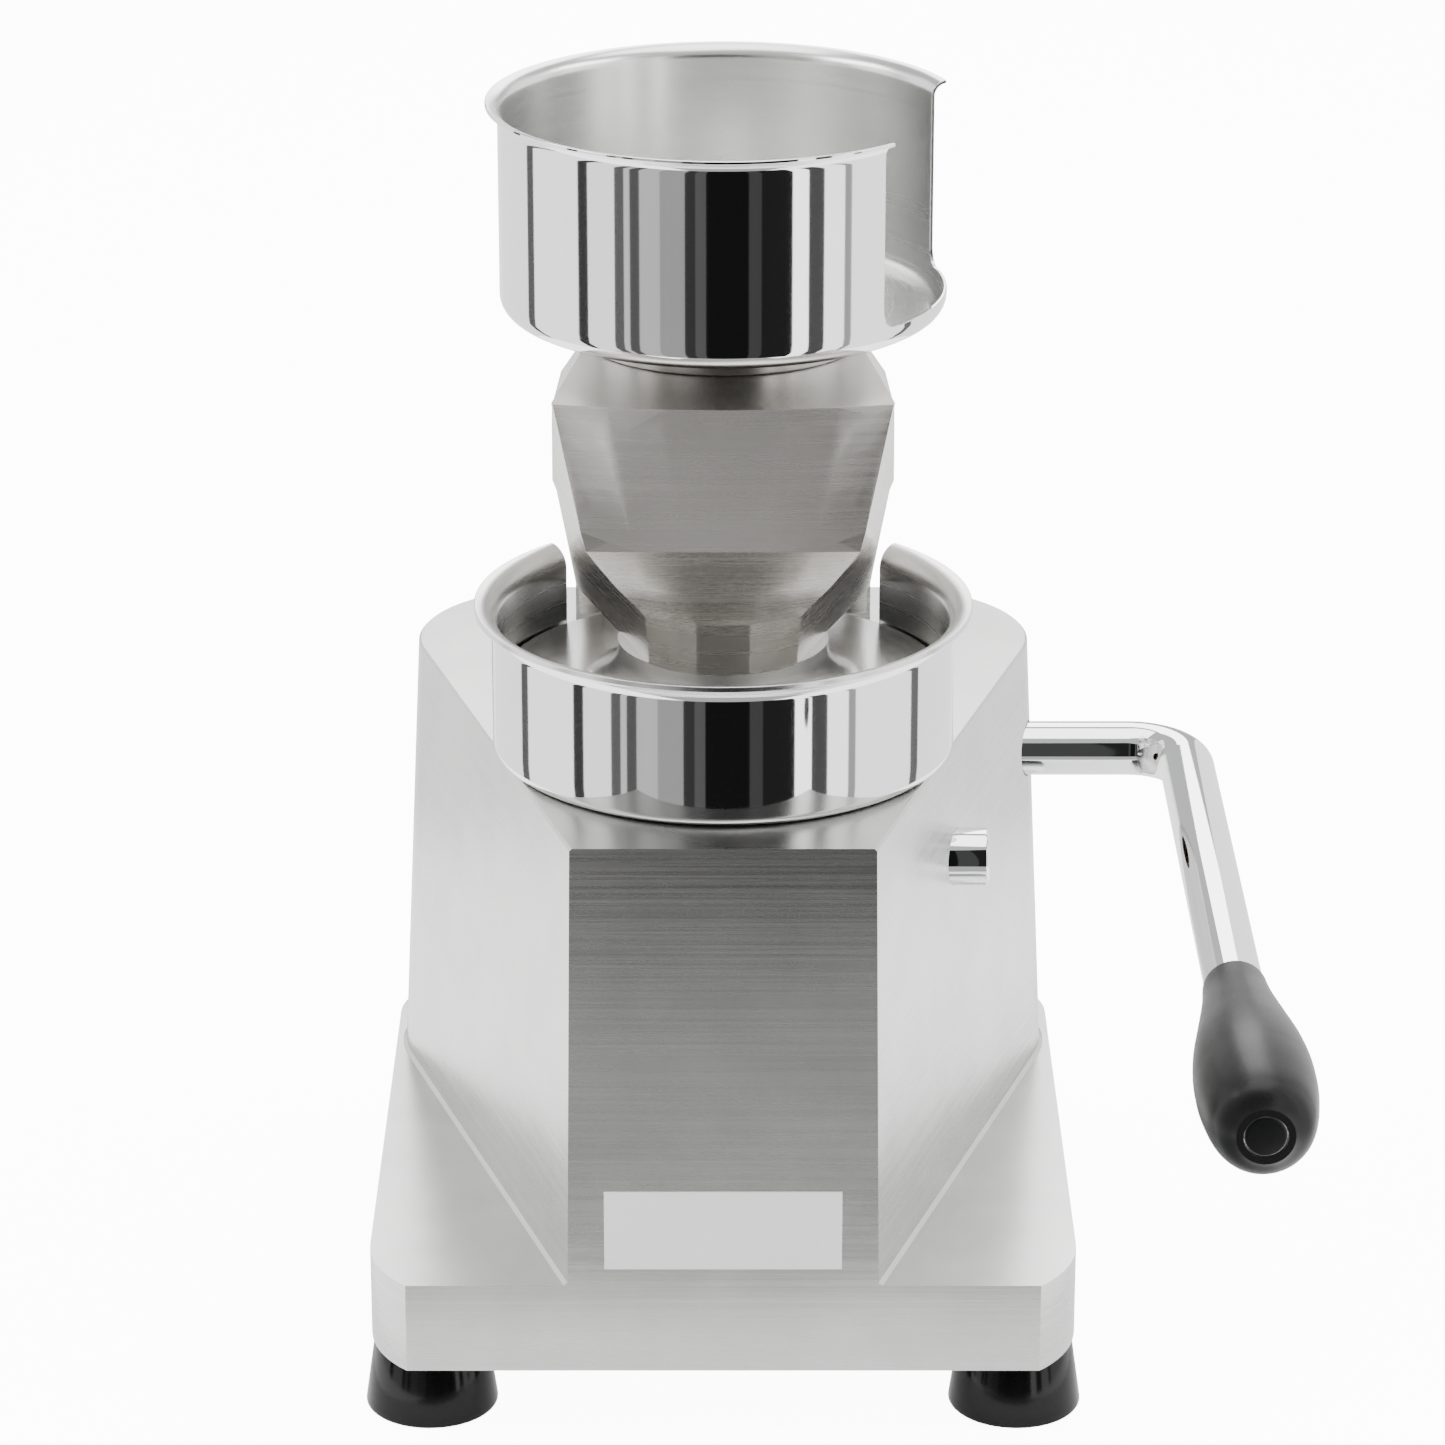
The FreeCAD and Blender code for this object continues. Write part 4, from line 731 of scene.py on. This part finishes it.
@dataclass
class Handle:
    """Bent rod, its grip with a flat cap, and the stop knob."""

    rod: float = 0.0095
    bend: float = 0.020
    mouth: float = 0.0104
    cap: float = 0.0065

    def path(self) -> list[tuple[Vector, Vector]]:
        """Points along the rod's middle, each with its direction."""
        low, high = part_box("handle_rod")
        y = high.y - self.rod
        z = (low.z + high.z) / 2
        corner = Vector((high.x - self.rod - self.bend, y - self.bend, z))
        spots = [(Vector((low.x, y, z)), Vector((1, 0, 0))),
                 (Vector((low.x + 0.0006, y, z)), Vector((1, 0, 0)))]
        for i in range(25):
            turn = HALF - HALF * i / 24
            spots.append((corner + Vector((math.cos(turn), math.sin(turn), 0)) * self.bend,
                          Vector((math.sin(turn), -math.cos(turn), 0))))
        spots.append((Vector((high.x - self.rod, low.y, z)), Vector((0, -1, 0))))
        return spots

    def build_rod(self, segments: int = 64) -> bpy.types.Object:
        """Sweep the round section along the rod's path."""
        bm = bmesh.new()
        rings = []
        for number, (spot, way) in enumerate(self.path()):
            side = way.cross(Vector((0, 0, 1)))
            reach = self.rod - (0.0006 if number == 0 else 0)
            rings.append([bm.verts.new(spot + (side * math.cos(math.tau * i / segments)
                                               + Vector((0, 0, 1)) * math.sin(math.tau * i / segments)) * reach)
                          for i in range(segments)])
        for low, high in zip(rings, rings[1:]):
            for i in range(segments):
                after = (i + 1) % segments
                bm.faces.new((low[i], low[after], high[after], high[i]))
        bm.faces.new(rings[0])
        bm.faces.new(rings[-1])
        return settle("handle_rod_bar", bm)

    def grip_outline(self, length: float, fat: float) -> Outline:
        """Radius and height pairs of the grip, from its mouth to its flat end."""
        knots = [(0.0, 0.0), (0.12, 0.15), (0.30, 0.50), (0.48, 0.85), (0.64, 1.0), (0.80, 0.93), (0.94, 0.60),
                 (1.0, (self.cap + 0.0025 - self.mouth) / (fat - self.mouth))]
        spots = [Vector((self.mouth + (fat - self.mouth) * rise, length * along)) for along, rise in knots]
        spots = [spots[0] * 2 - spots[1]] + spots + [spots[-1] * 2 - spots[-2]]
        outline = []
        for a, b, c, d in zip(spots, spots[1:], spots[2:], spots[3:]):
            for i in range(8):
                t = i / 8
                spot = 0.5 * (2 * b + (c - a) * t + (2 * a - 5 * b + 4 * c - d) * t * t
                              + (3 * b - a - 3 * c + d) * t ** 3)
                outline.append((min(spot.x, fat), spot.y))
        return outline + [tuple(spots[-2])]

    def build(self) -> None:
        """Make and dress the handle."""
        rod = self.build_rod()
        rod.visible_glossy = False
        dress(rod, "handle", "chromed_bar", "handle_rod")
        low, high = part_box("handle_grip")
        length = high.y - low.y
        centre = (low + high) / 2
        seat = along_front(Vector((centre.x, high.y, centre.z)))
        outline = self.grip_outline(length, (high.x - low.x) / 2)
        deep = length - 0.004
        outline += [(self.cap + 0.0003, length), (self.cap + 0.0002, deep), (0, deep)]
        grip = lathe("handle_grip_moulding", [(0, 0.0005), (self.rod + 0.0001, 0.0005), (self.rod + 0.0002, 0)]
                     + outline, seat)
        grip.visible_glossy = False
        dress(grip, "handle", "black_grip", "handle_grip")
        cap = soften([(0, deep), (self.cap, deep), (self.cap, length - 0.0003), (0, length - 0.0001)], 0.0008)
        dress(lathe("grip_cap_disc", cap, seat, 64), "handle", "black_foot", "grip_cap", looks=("black_grip",))
        low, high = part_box("stop_knob")
        reach = (high.z - low.z) / 2
        long = high.x - low.x
        knob = soften([(0, 0), (reach, 0), (reach, long), (0, long)], 0.0012)
        seat = along_x(Vector((low.x, (low.y + high.y) / 2, (low.z + high.z) / 2)))
        dress(lathe("stop_knob_turned", knob, seat, 96), "plunger", "chromed_bar", "stop_knob")


class Feet:
    """Four moulded feet with their bolts."""

    def build(self) -> None:
        """Make and dress the feet and the bolts under them."""
        for end in ("front", "rear"):
            for side in ("left", "right"):
                self.foot("foot_%s_%s" % (end, side))
        low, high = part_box("foot_bolts")
        head = 0.0065
        reach = high.z - low.z
        outline = soften([(0, 0), (head, 0), (head, 0.0053), (0.004, 0.0053), (0.004, reach),
                          (0, reach)], 0.0004)
        bolt = lathe("foot_bolt_one", outline, Matrix.Identity(4), 36)
        bolts = corner_pattern().run("foot_bolts_set", {
            "Fastener": bolt, "Width": high.x - low.x - 2 * head, "Depth": high.y - low.y - 2 * head,
            "Centre": ((low.x + high.x) / 2, (low.y + high.y) / 2, low.z), "Finish": MADE["plated_screw"]})
        bpy.data.objects.remove(bolt)
        dress(bolts, "root", "plated_screw", "foot_bolts")

    @staticmethod
    def foot(node: str) -> None:
        """One foot: narrow at the top, rounded at the bottom, recessed for its bolt."""
        low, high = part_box(node)
        centre = (low + high) / 2
        reach = (high.x - low.x) / 2
        tall = high.z - low.z
        outline = [(0.0041, tall), (0.0041, 0.010), (0.0070, 0.010), (0.0070, 0.0), (reach - 0.0015, 0.0)]
        outline += arc((reach - 0.0015, 0.0015), 0.0015, -HALF, 0, 5)[1:]
        outline += [(reach - 0.0002, 0.003), (0.0190, tall - 0.001), (0.0183, tall), (0.0041, tall)]
        dress(lathe(node + "_moulding", outline, upright_at(Vector((centre.x, centre.y, low.z))), 96),
              "root", "black_foot", node)


class InnerWorks:
    """The pieces inside: a wound spring, and the CAD nodes that keep their own mesh."""

    def build(self) -> None:
        """Wind the spring and give every shown CAD node its finish."""
        low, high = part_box("stop_spring")
        wire = 0.0007
        coil = (high.z - low.z) / 2 - wire
        spring = coil_pattern().run("stop_spring_wire", {
            "Turns": 6.0, "Coil": coil, "Length": high.x - low.x - 2 * wire, "Wire": wire,
            "Start": (low.x + wire, (low.y + high.y) / 2, (low.z + high.z) / 2),
            "Finish": MADE["linkage_steel"]})
        dress(spring, "root", "linkage_steel", "stop_spring")
        slots = {row["node"]: row["material_slot"] for row in frame["record"]["subparts"]}
        for node, shown in frame["nodes"].items():
            if shown.hide_render:
                continue
            shown.data.materials.clear()
            shown.data.materials.append(MADE[slots[node]])
            LOG.info("%s keeps its own mesh", node)


# ---------------------------------------------------------------- studio
@dataclass
class Studio:
    """Floor, cards, lights, world and camera."""

    floor_half: float = 6.0
    card_distance: float = 0.52
    card_height: float = 0.7
    eye_from_axis: tuple[float, float] = (-0.0002, -1.7359)
    eye_height: float = 0.8836
    tilt: float = math.radians(69.05)
    lens: float = 138.5

    def plain(self, name: str, colour: float, glow: float) -> bpy.types.Material:
        """A plain material for the studio itself."""
        material = bpy.data.materials.new(name)
        material.use_nodes = True
        shader = material.node_tree.nodes["Principled BSDF"]
        shader.inputs["Base Color"].default_value = (colour, colour, colour, 1)
        shader.inputs["Roughness"].default_value = 0.9
        shader.inputs["Specular IOR Level"].default_value = 0.0
        shader.inputs["Emission Color"].default_value = (1, 1, 1, 1)
        shader.inputs["Emission Strength"].default_value = glow
        return material

    def sheet(self, name: str, corners: Sequence[Vector], material: bpy.types.Material) -> bpy.types.Object:
        """A flat stage sheet from its corners."""
        mesh = bpy.data.meshes.new(name)
        mesh.from_pydata([tuple(c) for c in corners], [], [tuple(range(len(corners)))])
        mesh.materials.append(material)
        sheet = bpy.data.objects.new(name, mesh)
        bpy.context.scene.collection.objects.link(sheet)
        return sheet

    def card(self, name: str, corners: Sequence[Vector], glow: float) -> None:
        """A card that shows only in reflections.

        Args:
            name: The card's name.
            corners: Its corners.
            glow: How bright it looks.
        """
        card = self.sheet(name, corners, self.plain(name + "_face", 0.0, glow))
        card.visible_camera = False
        card.visible_shadow = False
        card.visible_diffuse = False

    def standing(self, start: float, end: float) -> list[Vector]:
        """Corners of an upright card between two azimuths, in degrees from the front towards +X."""
        return [Vector((PRESS.axis.x + self.card_distance * math.sin(math.radians(turn)),
                        PRESS.axis.y - self.card_distance * math.cos(math.radians(turn)), height))
                for turn, height in ((start, 0.0), (end, 0.0), (end, self.card_height),
                                     (start, self.card_height))]

    @staticmethod
    def lying(left: float, right: float, front: float, rear: float) -> list[Vector]:
        """Corners of a card on the floor, measured from the bowl's axis."""
        return [Vector((PRESS.axis.x + x, PRESS.axis.y + y, 0.0))
                for x, y in ((left, front), (right, front), (right, rear), (left, rear))]

    @staticmethod
    def bands() -> list[tuple[float, float, float]]:
        """Start and end, in degrees from the front towards +X, and brightness of each card."""
        return [(-150, -112, 2.0), (-112, -106, 0.15), (-106, -74, 2.2), (-74, -68, 0.06), (-68, -53, 1.8),
                (-53, -48, 0.15), (-48, -45, 0.9), (-45, -40, 0.12), (-40, -30, 0.75), (-30, -18, 0.45),
                (-18, -13, 0.05), (-13, -8, 0.12), (-8, 12, 0.01), (12, 18, 0.07), (18, 33, 0.02), (33, 41, 3.2),
                (41, 49, 0.10), (49, 60, 2.6), (60, 64, 0.5), (64, 100, 2.2), (100, 106, 0.2), (106, 150, 2.0)]

    def light(self, name: str, spot: tuple[float, float, float], size: float, power: float) -> None:
        """A soft square light aimed at the middle of the press."""
        data = bpy.data.lights.new(name, "AREA")
        data.shape = "SQUARE"
        data.size = size
        data.energy = power
        lamp = bpy.data.objects.new(name, data)
        lamp.location = spot
        aim = Vector((PRESS.axis.x, PRESS.axis.y, 0.2)) - Vector(spot)
        lamp.rotation_euler = aim.to_track_quat("-Z", "Y").to_euler()
        bpy.context.scene.collection.objects.link(lamp)

    def build(self) -> None:
        """Set up everything round the press."""
        half = self.floor_half
        floor = [Vector((x, y, 0)) for x, y in ((-half, -half), (half, -half), (half, half), (-half, half))]
        seen = self.sheet("floor", floor, self.plain("pale_floor", 0.86, 11.0))
        seen.visible_glossy = False
        seen.visible_diffuse = False
        mirrored = self.sheet("mirrored_floor", [c - Vector((0, 0, 0.0005)) for c in floor],
                              self.plain("mirrored_floor_face", 0.80, 0.9))
        mirrored.visible_camera = False
        mirrored.visible_shadow = False
        for number, (start, end, glow) in enumerate(self.bands()):
            self.card("card_%02d" % number, self.standing(start, end), glow)
        self.card("front_floor_card", self.lying(-0.16, 0.20, -0.66, -0.20), 0.62)
        self.card("left_floor_card", self.lying(-0.50, -0.17, -0.45, 0.45), 3.2)
        self.card("right_floor_card", self.lying(0.21, 0.50, -0.45, 0.45), 3.2)
        self.light("top_light", (0.0, 0.1, 2.2), 1.8, 40)
        self.light("left_light", (-1.9, -0.2, 1.3), 1.4, 45)
        self.light("right_light", (1.9, -0.1, 1.2), 1.4, 45)
        self.light("rear_light", (0.2, 1.9, 1.6), 1.4, 35)
        world = bpy.data.worlds.new("studio_world")
        world.use_nodes = True
        world.node_tree.nodes["Background"].inputs["Color"].default_value = (1, 1, 1, 1)
        world.node_tree.nodes["Background"].inputs["Strength"].default_value = 0.75
        bpy.context.scene.world = world
        data = bpy.data.cameras.new("studio_camera")
        data.lens = self.lens
        data.sensor_width = 36.0
        camera = bpy.data.objects.new("studio_camera", data)
        camera.location = (PRESS.axis.x + self.eye_from_axis[0], PRESS.axis.y + self.eye_from_axis[1],
                           self.eye_height)
        camera.rotation_euler = (self.tilt, 0, 0)
        bpy.context.scene.collection.objects.link(camera)
        bpy.context.scene.camera = camera


def main() -> None:
    """Build the press piece by piece, then the studio."""
    logging.basicConfig(level=logging.INFO, format="%(message)s")
    Castings().build()
    Vessels().build()
    PressingParts().build()
    Handle().build()
    Feet().build()
    InnerWorks().build()
    Studio().build()


if __name__ == "__main__":
    main()
